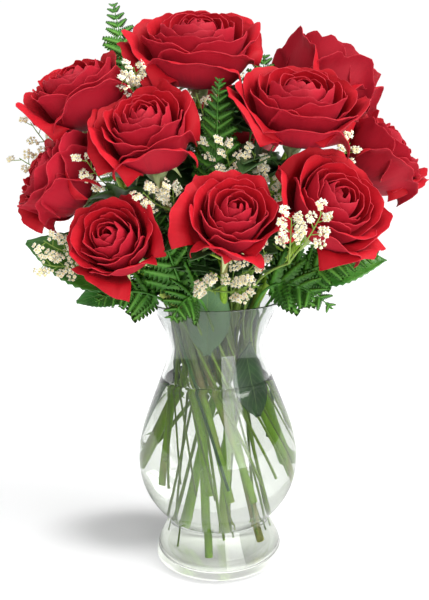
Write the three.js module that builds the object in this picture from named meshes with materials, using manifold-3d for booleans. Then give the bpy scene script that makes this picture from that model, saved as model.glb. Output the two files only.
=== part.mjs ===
// Red roses with fern, salal leaves and statice, standing in a clear glass vase of water.
// Millimetres, +Z up. The origin is the middle of the vase's flat underside.
// Below the vase's neck every stem is straight. The stems stand in four rings, one inside the
// other, and all turn the same way round the axis, as in a hand-tied spiral, so they pass each
// other without touching. Above the neck each one bends out to its bloom, blade or spray.
import * as THREE from "three";
import { mergeVertices } from "three/addons/utils/BufferGeometryUtils.js";
import Module from "manifold-3d";

const wasm = await Module();
wasm.setup();

const GAP = 0.35; // left between pieces that touch in the real bouquet
const SMALLEST = 0.03; // the detail that a joined piece may lose

// ---- driving dimensions: vase and water ----
const WALL = 2.7; // glass thickness
const FLOOR = 7; // solid glass under the cavity
const CAVITY_R = 51; // radius of the cavity's floor
const WATER_LEVEL = 170;
const VASE_SIDES = 24;
// outer profile, [radius, height], from the foot to the rim
const VASE_OUTSIDE = [
  [47, 0], [56.8, 4], [57.4, 10], [54, 21], [44.6, 40], [47.5, 43.5], [57.5, 54.5], [66.3, 69],
  [71, 86], [71.2, 106], [66.5, 128], [57.5, 152.5], [48, 177], [42.2, 197], [45, 213], [57, 240],
];

// ---- driving dimensions: stems ----
const NECK_Z = 199;
const ROSE_STEM_R = 3.1;
const FILLER_STEM_R = 1.2;
const VIA_R = 48; // furthest from the axis that a forked stem bends as it passes the rim
const VIA_Z = 266; // lowest that it bends there
// The rings of stems, from the axis out: radius at the neck, radius and height of the cut ends, and
// the degrees that a stem turns on its way down. The two outer rings end inside the bulb.
const RINGS = {
  inner: { neck: 12, foot: 33, z: 13, twist: 90 },
  heart: { neck: 19.2, foot: 39, z: 14, twist: 70 },
  outer: { neck: 27, foot: 56, z: 68, twist: 60 },
  collar: { neck: 35, foot: 62, z: 80, twist: 60 },
};

// ---- driving dimensions: roses ----
const PETAL_T = 0.9;
const PETAL_TURN = 137.5; // degrees from each petal to the next
// how far out each petal's lip is, from 1 at the guard petals to 0 at the heart
const PETAL_LAYERS = [1, 0.97, 0.94, 0.76, 0.73, 0.7, 0.5, 0.38];
// the closed heart, [share of the head's radius, share of its height]
const BUD = [[0, 0], [0.2, 0.04], [0.29, 0.55], [0.15, 0.9], [0, 0.94]];
const BUD_SIDES = 6;
// The hip under the red, with its five sepals bent back, as rings from the stem up. Each ring has
// [radius, height] between the sepals, then on their middle lines.
const HIP = [
  [[ROSE_STEM_R + 0.1, -15], [ROSE_STEM_R + 0.1, -15]],
  [[7.4, -9], [7.6, -9]],
  [[6.8, -3.6], [16.5, -15]],
  [[6.6, -2.2], [10, -2.6]],
  [[5.4, -GAP], [5.4, -GAP]],
];
const STEM_TOP = -12; // height in the head's frame where the stem runs into the hip
// at: middle of the head, face: the way it looks, r: radius, h: height, open: how far the lips
// turn out, spin: degrees, ring and neck: where its stem passes the vase's neck
const ROSES = [
  {
    name: "top", at: [-11, -8, 450], face: [0.02, -0.47, 0.88],
    r: 60, h: 50, open: 1, spin: 190, ring: "inner", neck: 165,
  },
  {
    name: "upper_left", at: [-107, -20, 413], face: [-0.33, -0.36, 0.87],
    r: 51, h: 48, open: 0.7, spin: 80, ring: "outer", neck: -154,
  },
  {
    name: "middle_left", at: [-49, -70, 379], face: [-0.14, -0.6, 0.79],
    r: 46, h: 48, open: 0.7, spin: 200, ring: "inner", neck: -105,
  },
  {
    name: "left", at: [-123, -40, 344], face: [-0.76, -0.32, 0.5],
    r: 43, h: 48, open: 0.5, spin: 300, ring: "outer", neck: -138,
  },
  {
    name: "lower_left", at: [-75, -78, 298], face: [-0.26, -0.82, 0.5],
    r: 39, h: 44, open: 0.5, spin: 40, ring: "outer", neck: -118,
  },
  {
    name: "centre", at: [14, -98, 314], face: [0.12, -0.76, 0.64],
    r: 40, h: 44, open: 0.5, spin: 120, ring: "outer", neck: -58,
  },
  {
    name: "lower_right", at: [89, -78, 322], face: [0.4, -0.72, 0.56],
    r: 48, h: 44, open: 0.7, spin: 260, ring: "outer", neck: -14,
  },
  {
    name: "middle_right", at: [67, -50, 398], face: [0.08, -0.5, 0.86],
    r: 56, h: 46, open: 0.9, spin: 330, ring: "inner", neck: -2,
  },
  {
    name: "upper_right", at: [102, 40, 429], face: [0.5, 0.2, 0.84],
    r: 49, h: 52, open: 0.3, spin: 20, ring: "inner", neck: 50,
  },
  {
    name: "right", at: [141, 0, 362], face: [0.74, -0.26, 0.62],
    r: 46, h: 48, open: 0.4, spin: 150, ring: "outer", neck: 28,
  },
  {
    name: "back_left", at: [-62, 92, 448], face: [-0.3, 0.3, 0.9],
    r: 46, h: 48, open: 0.6, spin: 70, ring: "outer", neck: 156,
  },
  {
    name: "back", at: [22, 94, 392], face: [0.1, 0.68, 0.72],
    r: 48, h: 48, open: 0.6, spin: 220, ring: "outer", neck: 98,
  },
];

// ---- driving dimensions: greenery and statice ----
// A frond bends through via to its tip. blade: the share of the bend where the blade starts, half
// its width, and its pairs of leaflets. up: the way its face looks.
const FERNS = [
  {
    name: "tall_left", ring: "heart", neck: -151, via: [-66, 30, 402], tip: [-85, 38, 499],
    blade: [0.72, 16, 8], up: [0.2, -1, 0.1],
  },
  {
    name: "low_left", ring: "collar", neck: -112, via: [-44, -42, 272], tip: [-94, -70, 252],
    blade: [0.6, 17, 6], up: [0.1, -0.6, 0.8],
  },
  {
    name: "front_up", ring: "collar", neck: -96, via: [-28, -54, 262], tip: [-46, -72, 320],
    blade: [0.58, 20, 7], up: [0.1, -1, 0.2],
  },
  {
    name: "front_down", ring: "collar", neck: -80, via: [-10, -60, 280], tip: [-34, -94, 240],
    blade: [0.6, 18, 6], up: [0, -0.8, 0.6],
  },
  {
    name: "centre_up", ring: "heart", neck: -55, via: [0, -46, 345], tip: [6, -66, 420],
    blade: [0.62, 11, 8], up: [-0.4, -0.9, 0],
  },
  {
    name: "low_right", ring: "collar", neck: -28, via: [40, -44, 290], tip: [90, -88, 246],
    blade: [0.58, 21, 7], up: [0.1, -0.6, 0.8],
  },
  {
    name: "right", ring: "collar", neck: -12, via: [56, -44, 280], tip: [128, -72, 284],
    blade: [0.5, 19, 7], up: [0.1, -0.6, 0.8],
  },
  {
    name: "tall_right", ring: "heart", neck: 75, via: [40, 10, 372], tip: [46, 14, 450],
    blade: [0.75, 18, 6], up: [0.2, -1, 0.1],
  },
  {
    name: "back_right", ring: "collar", neck: 66, via: [50, 56, 300], tip: [92, 88, 356],
    blade: [0.5, 22, 7], up: [0.3, 1, 0.3],
  },
  {
    name: "back_left", ring: "collar", neck: 170, via: [-46, 50, 300], tip: [-112, 70, 366],
    blade: [0.5, 22, 7], up: [-0.3, 1, 0.3],
  },
];
// A leafy stem ends in two broad leaves, whose upper faces look along up.
const SALALS = [
  {
    name: "left", ring: "collar", neck: -140, fork: [-66, -26, 252],
    up: [0, -0.8, 0.6], tips: [[-156, -30, 296], [-116, -34, 246]],
  },
  {
    name: "right", ring: "collar", neck: 4, fork: [60, -22, 262],
    up: [0, -0.8, 0.6], tips: [[144, -30, 276], [112, 10, 260]],
  },
  {
    name: "back", ring: "collar", neck: 104, fork: [14, 52, 268],
    up: [0, 0.8, 0.6], tips: [[66, 96, 296], [-22, 108, 304]],
  },
];
// A spray forks, and each fork carries its florets along the end.
const STATICES = [
  {
    name: "far_left", ring: "collar", neck: -166, fork: [-112, 16, 346],
    heads: [[-156, 8, 396], [-166, 2, 366]],
  },
  {
    name: "low_left", ring: "collar", neck: -152, fork: [-88, -46, 282],
    heads: [[-134, -62, 300], [-136, -64, 282]],
  },
  {
    name: "upper_left", ring: "heart", neck: -138, fork: [-54, -16, 411],
    heads: [[-66, -60, 422], [-60, -47, 432]],
  },
  {
    name: "between_left", ring: "heart", neck: -100, fork: [-70, -54, 330],
    heads: [[-96, -74, 362]],
  },
  {
    name: "front_left", ring: "heart", neck: -78, fork: [-30, -66, 320],
    heads: [[-52, -90, 337], [-30, -88, 339]],
  },
  {
    name: "low_centre", ring: "collar", neck: -66, fork: [-2, -54, 256],
    heads: [[-8, -86, 268], [26, -84, 264]],
  },
  {
    name: "centre", ring: "heart", neck: -34, fork: [20, -44, 334],
    heads: [[9, -68, 372], [33, -66, 364]],
  },
  {
    name: "front_right", ring: "collar", neck: -42, fork: [54, -108, 284],
    heads: [[54, -126, 318], [74, -134, 322]],
  },
  {
    name: "between_right", ring: "heart", neck: -14, fork: [40, -50, 312],
    heads: [[45, -66, 346]],
  },
  {
    name: "middle_right", ring: "heart", neck: 16, fork: [82, -30, 330],
    heads: [[84, -54, 362], [110, -40, 372]],
  },
  {
    name: "upper_right", ring: "heart", neck: 105, fork: [34, 26, 384],
    heads: [[30, 18, 430], [60, 44, 418]],
  },
  {
    name: "back", ring: "heart", neck: 140, fork: [-22, 54, 342],
    heads: [[-34, 86, 384], [-6, 66, 420]],
  },
  {
    name: "back_left", ring: "collar", neck: -178, fork: [-84, 30, 350],
    heads: [[-118, 34, 392], [-100, 58, 380]],
  },
];
const FLORETS = 5; // on each fork
const FLORET_R = 3.6;
const FLORET_OUT = 2.6; // from the fork's line to the middle of a floret
const LEAF_T = 0.9; // thickness of a leaf or a frond's blade
const LEAF_WIDTH = 0.25; // half the width of a salal leaf, as a share of its length

// ---- small helpers ----
const radians = (degrees) => (degrees * Math.PI) / 180;
const mix = (a, b, t) => a + (b - a) * t;
const vector = (a) => new THREE.Vector3(...a);
const flat = (pairs) => pairs.map(([x, y]) => new THREE.Vector2(x, y));

function polar(r, degrees, z) {
  return new THREE.Vector3(r * Math.cos(radians(degrees)), r * Math.sin(radians(degrees)), z);
}

// The same number between 0 and 1 for the same seed, every time.
function chance(seed) {
  const x = Math.sin(seed * 12.9898) * 43758.5453;
  return x - Math.floor(x);
}

function solidOf(geometry) {
  geometry.deleteAttribute("normal");
  geometry.deleteAttribute("uv");
  const merged = mergeVertices(geometry, 1e-4);
  const vertProperties = merged.attributes.position.array;
  const triVerts = new Uint32Array(merged.index.array);
  return new wasm.Manifold(new wasm.Mesh({ numProp: 3, vertProperties, triVerts }));
}

function geometryOf(solid) {
  const mesh = solid.getMesh();
  return new THREE.BufferGeometry()
    .setAttribute("position", new THREE.BufferAttribute(mesh.vertProperties, 3))
    .setIndex(new THREE.BufferAttribute(mesh.triVerts, 1));
}

// A lathe about +Z of [radius, height] points that start and end on the axis.
const turned = (points, sides) => solidOf(new THREE.LatheGeometry(points, sides).rotateX(Math.PI / 2));

const fused = (solids) => solids.reduce((all, solid) => all.add(solid)).simplify(SMALLEST);

// The largest body of a solid: a scrap that a join has left loose is dropped.
const mainBody = (solid) => solid.decompose().reduce((a, b) => (b.volume() > a.volume() ? b : a));

// A closed plate of even thickness over an open sheet of triangles, split alike on both faces.
function plate(points, triangles, thickness) {
  const normals = points.map(() => new THREE.Vector3());
  for (const [a, b, c] of triangles) {
    const [ab, ac] = [b, c].map((i) => new THREE.Vector3().subVectors(points[i], points[a]));
    for (const i of [a, b, c]) normals[i].add(new THREE.Vector3().crossVectors(ab, ac));
  }
  const half = thickness / 2;
  const front = points.map((p, i) => p.clone().addScaledVector(normals[i].normalize(), half));
  const back = points.map((p, i) => p.clone().addScaledVector(normals[i], -half));
  const n = points.length;
  const faces = triangles.flatMap(([a, b, c]) => [[a, b, c], [a + n, c + n, b + n]]);
  const edges = new Set(triangles.flatMap(([a, b, c]) => [`${a},${b}`, `${b},${c}`, `${c},${a}`]));
  for (const edge of edges) {
    const [a, b] = edge.split(",").map(Number);
    if (!edges.has(`${b},${a}`)) faces.push([b, a, a + n], [b, a + n, b + n]);
  }
  return solidOf(new THREE.BufferGeometry().setFromPoints([...front, ...back]).setIndex(faces.flat()));
}

// A closed skin over rings of points, each ring with the given sides, anticlockwise seen from the
// last ring.
function skin(corners, sides) {
  const faces = [];
  const last = corners.length - sides;
  for (let i = 0; i < last; i += sides)
    for (let k = 0; k < sides; k++) {
      const [a, b] = [i + k, i + ((k + 1) % sides)];
      faces.push([a, b, b + sides], [a, b + sides, a + sides]);
    }
  for (let k = 1; k + 1 < sides; k++) faces.push([0, k + 1, k], [last, last + k, last + k + 1]);
  return new THREE.BufferGeometry().setFromPoints(corners).setIndex(faces.flat());
}

// A closed tube along points, with a radius at each of them and flat ends.
function sweep(points, radii, sides) {
  const corners = [];
  let across = null;
  points.forEach((p, i) => {
    const ahead = points[Math.min(i + 1, points.length - 1)];
    const behind = points[Math.max(i - 1, 0)];
    const along = new THREE.Vector3().subVectors(ahead, behind).normalize();
    if (!across) across = Math.abs(along.x) > 0.9 ? new THREE.Vector3(0, 1, 0) : new THREE.Vector3(1, 0, 0);
    across = across.clone().addScaledVector(along, -across.dot(along)).normalize();
    const other = new THREE.Vector3().crossVectors(along, across);
    for (let k = 0; k < sides; k++) {
      const turn = (2 * Math.PI * k) / sides;
      const corner = p.clone().addScaledVector(across, radii[i] * Math.cos(turn));
      corners.push(corner.addScaledVector(other, radii[i] * Math.sin(turn)));
    }
  });
  return solidOf(skin(corners, sides));
}

// ---- glass vase and water ----
const outside = flat(VASE_OUTSIDE);

// The cavity's line, moved in by inset, from the middle of its floor up to the rim.
function insideLine(inset) {
  const line = flat([[0, FLOOR + inset], [CAVITY_R - inset, FLOOR + inset]]);
  outside.forEach((p, i) => {
    if (p.y < 14 || i === outside.length - 1) return;
    const along = new THREE.Vector2().subVectors(outside[i + 1], outside[i - 1]).normalize();
    line.push(new THREE.Vector2(p.x - (WALL + inset) * along.y, p.y + (WALL + inset) * along.x));
  });
  return line;
}

function vaseSolid() {
  const rim = outside.at(-1);
  const lip = flat([[rim.x - WALL, rim.y]]);
  return turned([new THREE.Vector2(0, 0), ...outside, ...lip, ...insideLine(0).reverse()], VASE_SIDES);
}

function waterSolid() {
  const line = insideLine(GAP);
  const top = line.findIndex((p) => p.y > WATER_LEVEL);
  const [below, above] = [line[top - 1], line[top]];
  const edge = below.clone().lerp(above, (WATER_LEVEL - below.y) / (above.y - below.y));
  return turned([...line.slice(0, top), edge, new THREE.Vector2(0, WATER_LEVEL)], VASE_SIDES);
}

// ---- stems ----
// Where a stem passes the neck, where it is cut, and the way it points as it leaves the neck.
function rootOf(piece, lift) {
  const ring = RINGS[piece.ring];
  const neck = polar(ring.neck, piece.neck, NECK_Z);
  const foot = polar(ring.foot, piece.neck + ring.twist, ring.z).lerp(neck, lift);
  return { neck, foot, rise: new THREE.Vector3().subVectors(neck, foot).normalize() };
}

// The bend above the neck, which arrives at its end from via.
function bendOf(root, via, end) {
  const first = root.neck.clone().addScaledVector(root.rise, 0.4 * root.neck.distanceTo(via));
  return new THREE.CubicBezierCurve3(root.neck, first, via, end);
}

// The bend to a fork, which it reaches from nearer the axis, clear of the vase's rim.
function bendToFork(root, fork) {
  const share = Math.min(0.6, VIA_R / Math.hypot(fork.x, fork.y));
  const via = new THREE.Vector3(share * fork.x, share * fork.y, Math.max(VIA_Z, mix(NECK_Z, fork.z, 0.6)));
  return bendOf(root, via, fork);
}

// ---- blooms ----
// Radius and height of a petal's middle line, t from root to lip, layer from 0 at the heart to 1.
function petalLine(rose, layer, t) {
  const lip = mix(0.84, 0.62, rose.open);
  const r = [0.09, mix(0.26, 0.95, layer), mix(0.34, 0.8, layer), mix(0.12, 1, layer)];
  const low = [mix(0.1, 0.03, layer), mix(0.1, -0.02, layer)];
  const z = [...low, mix(0.85, 0.8, layer), mix(1, lip, layer * layer)];
  const w = [(1 - t) ** 3, 3 * t * (1 - t) ** 2, 3 * t * t * (1 - t), t ** 3];
  const sum = (c) => c.reduce((all, value, i) => all + value * w[i], 0);
  return [rose.r * sum(r), rose.h * sum(z)];
}

// A point of a petal: u from -1 to 1 across it, v from 0 at the root to 1 at the lip.
function petalPoint(rose, index, u, v) {
  const layer = PETAL_LAYERS[index];
  const length = 1 - 0.16 * Math.abs(u) ** 2.4 + 0.04 * Math.exp(-((u / 0.2) ** 2));
  const [r, z] = petalLine(rose, layer, v * length);
  const half = mix(85, 52, layer) * (0.4 + 0.6 * Math.sin((Math.min(1, v / 0.75) * Math.PI) / 2));
  return polar(r, rose.spin - index * PETAL_TURN + u * half, z);
}

// A petal's sheet: rows of points from root to lip, [height share, points in the row], joined up.
function petalSolid(rose, index) {
  const outer = [[0, 2], [0.2, 3], [0.62, 5], [1, 5]];
  const rows = index < 3 ? outer : [[0, 2], [0.5, 3], [1, index < 6 ? 5 : 4]];
  const points = [];
  const triangles = [];
  let [low, lowCount] = [0, 0];
  for (const [v, count] of rows) {
    const high = points.length;
    for (let i = 0; i < count; i++) points.push(petalPoint(rose, index, (2 * i) / (count - 1) - 1, v));
    let [i, j] = [0, 0];
    while (lowCount && (i < lowCount - 1 || j < count - 1)) {
      const lowNext = (i + 1) / (lowCount - 1);
      if (lowNext <= (j + 1) / (count - 1)) triangles.push([low + i, low + ++i, high + j]);
      else triangles.push([low + i, high + j + 1, high + j++]);
    }
    [low, lowCount] = [high, count];
  }
  return plate(points, triangles, PETAL_T);
}

// The head's frame: its origin is the underside of the red, and its +Z is the way it looks.
function headFrame(rose) {
  const face = vector(rose.face).normalize();
  const base = vector(rose.at).addScaledVector(face, -rose.h / 2);
  const turn = new THREE.Quaternion().setFromUnitVectors(new THREE.Vector3(0, 0, 1), face);
  return { face, base, matrix: new THREE.Matrix4().compose(base, turn, new THREE.Vector3(1, 1, 1)) };
}

function bloomSolid(rose) {
  const heart = turned(flat(BUD.map(([r, z]) => [r * rose.r, z * rose.h])), BUD_SIDES);
  const petals = PETAL_LAYERS.map((_, index) => petalSolid(rose, index));
  return fused([heart, ...petals]).transform(headFrame(rose).matrix.elements);
}

// ---- green of a rose: hip, sepals and stem ----
function hipSolid(rose) {
  const sides = 10; // five sepals and five gaps
  const points = HIP.flatMap((ring) =>
    Array.from({ length: sides }, (_, k) => {
      const [r, z] = ring[k % 2];
      return polar(r, rose.spin + (360 / sides) * k, z);
    }),
  );
  return solidOf(skin(points, sides));
}

function roseStemSolid(rose, root) {
  const frame = headFrame(rose);
  const top = frame.base.clone().addScaledVector(frame.face, STEM_TOP);
  const via = top.clone().addScaledVector(frame.face, -0.35 * top.distanceTo(root.neck));
  const line = [root.foot, ...bendOf(root, via, top).getPoints(5)];
  const hip = hipSolid(rose).transform(frame.matrix.elements);
  return fused([hip, sweep(line, line.map(() => ROSE_STEM_R), 5)]);
}

// ---- fern fronds: one thin arched blade, cut to the rib between its leaflets ----
function frondSolid(fern, root) {
  const curve = bendOf(root, vector(fern.via), vector(fern.tip));
  const [start, width, pairs] = fern.blade;
  const up = vector(fern.up).normalize();
  const points = [];
  const triangles = [];
  const rib = [];
  for (let k = 0; k <= pairs; k++) {
    const t = mix(start, 1, k / pairs);
    const at = curve.getPoint(t);
    const along = curve.getTangent(t);
    const side = new THREE.Vector3().crossVectors(along, up).normalize();
    const face = new THREE.Vector3().crossVectors(side, along).normalize();
    rib.push({ at, along, side, face });
    const half = mix(1, 0.5, k / pairs);
    points.push(at.clone().addScaledVector(side, -half), at.clone().addScaledVector(side, half));
  }
  for (let k = 0; k < pairs; k++) {
    const a = 2 * k;
    triangles.push([a, a + 1, a + 3], [a, a + 3, a + 2]);
    const reach = width * (1 - (k + 0.3) / (pairs + 0.6)) ** 0.85;
    const step = rib[k].at.distanceTo(rib[k + 1].at);
    for (const hand of [-1, 1]) {
      const [low, high] = hand < 0 ? [a, a + 2] : [a + 1, a + 3];
      const out = (share, forward) =>
        rib[k].at
          .clone()
          .addScaledVector(rib[k].side, hand * reach * share)
          .addScaledVector(rib[k].along, forward)
          .addScaledVector(rib[k].face, -0.22 * reach * share * share);
      const [lower, tip] = [points.length, points.length + 1];
      points.push(out(0.5, 0.12 * reach), out(1, 0.5 * reach + 0.3 * step));
      for (const [p, q, r] of [[low, lower, high], [lower, tip, high]])
        triangles.push(hand > 0 ? [p, q, r] : [p, r, q]);
    }
  }
  const stalk = [root.foot, ...curve.getPoints(6).slice(0, Math.ceil(6 * start) + 1)];
  return fused([plate(points, triangles, LEAF_T), sweep(stalk, stalk.map(() => FILLER_STEM_R), 4)]);
}

// ---- salal: broad leaves, folded a little along the rib and waved at the edge ----
function leafSolid(base, tip, up, width, seed) {
  const along = new THREE.Vector3().subVectors(tip, base);
  const side = new THREE.Vector3().crossVectors(along, up).normalize();
  const face = new THREE.Vector3().crossVectors(side, along).normalize();
  const stations = 5;
  const points = [];
  for (let k = 0; k <= stations; k++) {
    const t = k / stations;
    const half = Math.max(0.9, width * Math.sin(Math.PI * Math.max(0, 1.15 * t - 0.15) ** 0.8) ** 0.9);
    const arch = 0.1 * along.length() * Math.sin(Math.PI * t);
    const rib = base.clone().addScaledVector(along, t).addScaledVector(face, arch);
    for (const hand of [-1, 0, 1]) {
      const wave = 0.16 * half + 0.1 * width * Math.sin(5 * t + 2 * hand + seed);
      points.push(rib.clone().addScaledVector(side, hand * half).addScaledVector(face, hand * hand * wave));
    }
  }
  const triangles = [];
  for (let a = 0; a < 3 * stations; a++) if (a % 3 < 2) triangles.push([a, a + 1, a + 4], [a, a + 4, a + 3]);
  return plate(points, triangles, LEAF_T);
}

function salalSolid(salal, root) {
  const fork = vector(salal.fork);
  const line = [root.foot, ...bendToFork(root, fork).getPoints(5)];
  const parts = [sweep(line, line.map(() => FILLER_STEM_R), 4)];
  salal.tips.forEach((end, i) => {
    const tip = vector(end);
    const base = fork.clone().lerp(line.at(-2), 0.3 * i + 0.02);
    parts.push(leafSolid(base, tip, vector(salal.up), LEAF_WIDTH * base.distanceTo(tip), i + 1));
  });
  return fused(parts);
}

// ---- statice: forked sprays, each branch a zigzag of florets that widen from their roots ----
function staticeSolid(statice, root) {
  const fork = vector(statice.fork);
  const stem = [root.foot, ...bendToFork(root, fork).getPoints(4)];
  const parts = [sweep(stem, stem.map(() => FILLER_STEM_R), 4)];
  for (const end of statice.heads) {
    const tip = vector(end);
    const sag = new THREE.Vector3(0, 0, 0.15 * fork.distanceTo(tip));
    const [first, second] = [0.3, 0.6].map((share) => fork.clone().lerp(tip, share));
    const curve = new THREE.CubicBezierCurve3(fork, first, second.sub(sag), tip);
    const front = new THREE.Vector3(0, -1, 0.3);
    const side = new THREE.Vector3().crossVectors(curve.getTangent(0.8), front).normalize();
    const branch = [stem.at(-1).clone().lerp(stem.at(-2), 0.1), curve.getPoint(0.35)];
    const radii = [1, 0.9];
    for (let k = 0; k < FLORETS; k++) {
      const hand = k % 2 ? 1 : -1;
      branch.push(curve.getPoint(mix(0.5, 1, (k + 0.1) / FLORETS)));
      const floret = curve.getPoint(mix(0.5, 1, (k + 0.8) / FLORETS));
      branch.push(floret.addScaledVector(side, FLORET_OUT * hand));
      radii.push(0.8, FLORET_R);
    }
    parts.push(sweep(branch, radii, 3));
  }
  return fused(parts);
}

// ---- materials ----
const finish = (color, roughness, opacity = 1) =>
  new THREE.MeshStandardMaterial({ color, roughness, metalness: 0, opacity, transparent: opacity < 1 });
const FINISHES = {
  vase: finish(0xe8efec, 0.05, 0.35),
  water: finish(0xdfe8e4, 0.05, 0.35),
  bloom: finish(0x8f0d14, 0.6),
  stem: finish(0x5d8434, 0.55),
  fern: finish(0x2c6b1e, 0.6),
  salal: finish(0x1f5a1c, 0.45),
  statice: finish(0xe6e6c8, 0.8),
};

// ---- assembly ----
const bouquet = new THREE.Group();

function place(kind, name, solid) {
  const mesh = new THREE.Mesh(geometryOf(mainBody(solid)), FINISHES[kind]);
  mesh.name = name ? `${kind}_${name}` : kind;
  bouquet.add(mesh);
}

const holes = []; // where the stems stand in the water

// The root of a piece whose stem has radius r. The seed sets how high the stem is cut.
function standing(piece, seed, r) {
  const root = rootOf(piece, 0.12 * chance(seed));
  const deep = root.foot.clone().addScaledVector(root.rise, -GAP);
  holes.push(sweep([deep, root.neck], [r + GAP, r + GAP], r > 2 ? 5 : 4));
  return root;
}

ROSES.forEach((rose, i) => {
  place("bloom", rose.name, bloomSolid(rose));
  place("stem", rose.name, roseStemSolid(rose, standing(rose, i, ROSE_STEM_R)));
});
const FILLERS = [
  { kind: "fern", pieces: FERNS, build: frondSolid, seed: 20 },
  { kind: "salal", pieces: SALALS, build: salalSolid, seed: 40 },
  { kind: "statice", pieces: STATICES, build: staticeSolid, seed: 50 },
];
for (const { kind, pieces, build, seed } of FILLERS)
  pieces.forEach((piece, i) => {
    place(kind, piece.name, build(piece, standing(piece, seed + i, FILLER_STEM_R)));
  });
place("water", "", holes.reduce((water, hole) => water.subtract(hole), waterSolid()));
place("vase", "", vaseSolid());

export default bouquet;
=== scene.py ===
"""Red roses with fern, salal leaves and statice, standing in a clear glass vase of water.

Sizes are millimetres and become metres as a mesh is made; the materials and the floor are in
metres. +Z is up, and the origin is the middle of the ring on which the vase stands. The named
places, sizes and routes are those of the frame's solids, and each piece here is a finer form of the
node that it replaces.
"""

import math
from collections import namedtuple

import bpy
import numpy as np
from mathutils import Euler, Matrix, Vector


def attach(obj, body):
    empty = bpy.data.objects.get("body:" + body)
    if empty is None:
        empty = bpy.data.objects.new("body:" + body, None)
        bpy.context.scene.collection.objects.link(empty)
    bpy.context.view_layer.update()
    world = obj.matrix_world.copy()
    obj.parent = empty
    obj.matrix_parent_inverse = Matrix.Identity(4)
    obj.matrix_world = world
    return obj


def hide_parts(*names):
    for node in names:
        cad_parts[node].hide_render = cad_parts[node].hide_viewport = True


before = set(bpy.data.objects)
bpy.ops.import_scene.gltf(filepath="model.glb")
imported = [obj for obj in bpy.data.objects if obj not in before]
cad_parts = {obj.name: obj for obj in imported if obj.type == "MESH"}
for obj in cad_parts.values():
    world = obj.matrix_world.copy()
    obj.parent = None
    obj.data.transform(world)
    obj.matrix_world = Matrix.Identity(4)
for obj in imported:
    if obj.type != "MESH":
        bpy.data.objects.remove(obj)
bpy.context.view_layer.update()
MM = 0.001

# ---- the vase and its water ----
WALL = 2.7
FLOOR = 7  # the height of the cavity's floor
CAVITY_R = 51  # at its floor
WATER_LEVEL = 170
# Radius and height, from the ring on which the vase stands up to the rim.
VASE_OUTSIDE = [
    (47, 0), (56.8, 4), (57.4, 10), (54, 21), (44.6, 40), (47.5, 43.5), (57.5, 54.5), (66.3, 69),
    (71, 86), (71.2, 106), (66.5, 128), (57.5, 152.5), (48, 177), (42.2, 197), (45, 213), (57, 240),
]

# ---- the rings in which the stems pass the neck ----
NECK_Z = 199
ROSE_STEM_R = 3.1
FILLER_STEM_R = 1.2
VIA_R = 48  # a forked stem passes the mouth within this radius,
VIA_Z = 266  # and no lower than this
# A ring's radius at the neck, the radius and height at which its stems are cut, and the degrees
# through which they turn between the two.
Ring = namedtuple("Ring", "neck foot z twist")
RINGS = {
    "inner": Ring(12, 33, 13, 90),
    "heart": Ring(19.2, 39, 14, 70),
    "outer": Ring(27, 56, 68, 60),
    "collar": Ring(35, 62, 80, 60),
}

# ---- the roses: middle, way it looks, radius, height, how open, turn, ring and angle at the neck ----
Rose = namedtuple("Rose", "name at face r h open spin ring neck")
ROSES = [
    Rose("top", (-11, -8, 450), (0.02, -0.47, 0.88), 60, 50, 1.0, 190, "inner", 165),
    Rose("upper_left", (-107, -20, 413), (-0.33, -0.36, 0.87), 51, 48, 0.7, 80, "outer", -154),
    Rose("middle_left", (-49, -70, 379), (-0.14, -0.6, 0.79), 46, 48, 0.7, 200, "inner", -105),
    Rose("left", (-123, -40, 344), (-0.76, -0.32, 0.5), 43, 48, 0.5, 300, "outer", -138),
    Rose("lower_left", (-75, -78, 298), (-0.26, -0.82, 0.5), 39, 44, 0.5, 40, "outer", -118),
    Rose("centre", (14, -98, 314), (0.12, -0.76, 0.64), 40, 44, 0.5, 120, "outer", -58),
    Rose("lower_right", (89, -78, 322), (0.4, -0.72, 0.56), 48, 44, 0.7, 260, "outer", -14),
    Rose("middle_right", (67, -50, 398), (0.08, -0.5, 0.86), 56, 46, 0.9, 330, "inner", -2),
    Rose("upper_right", (102, 40, 429), (0.5, 0.2, 0.84), 49, 52, 0.3, 20, "inner", 50),
    Rose("right", (141, 0, 362), (0.74, -0.26, 0.62), 46, 48, 0.4, 150, "outer", 28),
    Rose("back_left", (-62, 92, 448), (-0.3, 0.3, 0.9), 46, 48, 0.6, 70, "outer", 156),
    Rose("back", (22, 94, 392), (0.1, 0.68, 0.72), 48, 48, 0.6, 220, "outer", 98),
]

# ---- the greenery: ring and angle at the neck, then its route and form ----
# A frond's blade is the share of the bend at which its leaflets start, and its width.
Fern = namedtuple("Fern", "name ring neck via tip blade up")
FERNS = [
    Fern("tall_left", "heart", -151, (-66, 30, 402), (-85, 38, 499), (0.72, 18), (0.2, -1, 0.1)),
    Fern("low_left", "collar", -112, (-44, -42, 272), (-94, -70, 252), (0.6, 17), (0.1, -0.8, 0.6)),
    Fern("front_up", "collar", -96, (-28, -54, 262), (-46, -72, 320), (0.58, 20), (0.1, -1, 0.2)),
    Fern("front_down", "collar", -80, (-10, -60, 280), (-34, -94, 240), (0.6, 18), (0, -0.9, 0.4)),
    Fern("centre_up", "heart", -55, (0, -46, 345), (6, -66, 420), (0.62, 17), (-0.4, -0.9, 0)),
    Fern("low_right", "collar", -28, (40, -44, 290), (90, -88, 246), (0.58, 21), (0.2, -0.85, 0.5)),
    Fern("right", "collar", -12, (56, -44, 280), (128, -72, 284), (0.5, 19), (0.1, -0.85, 0.5)),
    Fern("tall_right", "heart", 75, (40, 10, 372), (46, 14, 450), (0.75, 18), (0.2, -1, 0.1)),
    Fern("back_right", "collar", 66, (50, 56, 300), (92, 88, 356), (0.5, 22), (0.3, 1, 0.3)),
    Fern("back_left", "collar", 170, (-46, 50, 300), (-112, 70, 366), (0.5, 22), (-0.3, 1, 0.3)),
]
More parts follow.
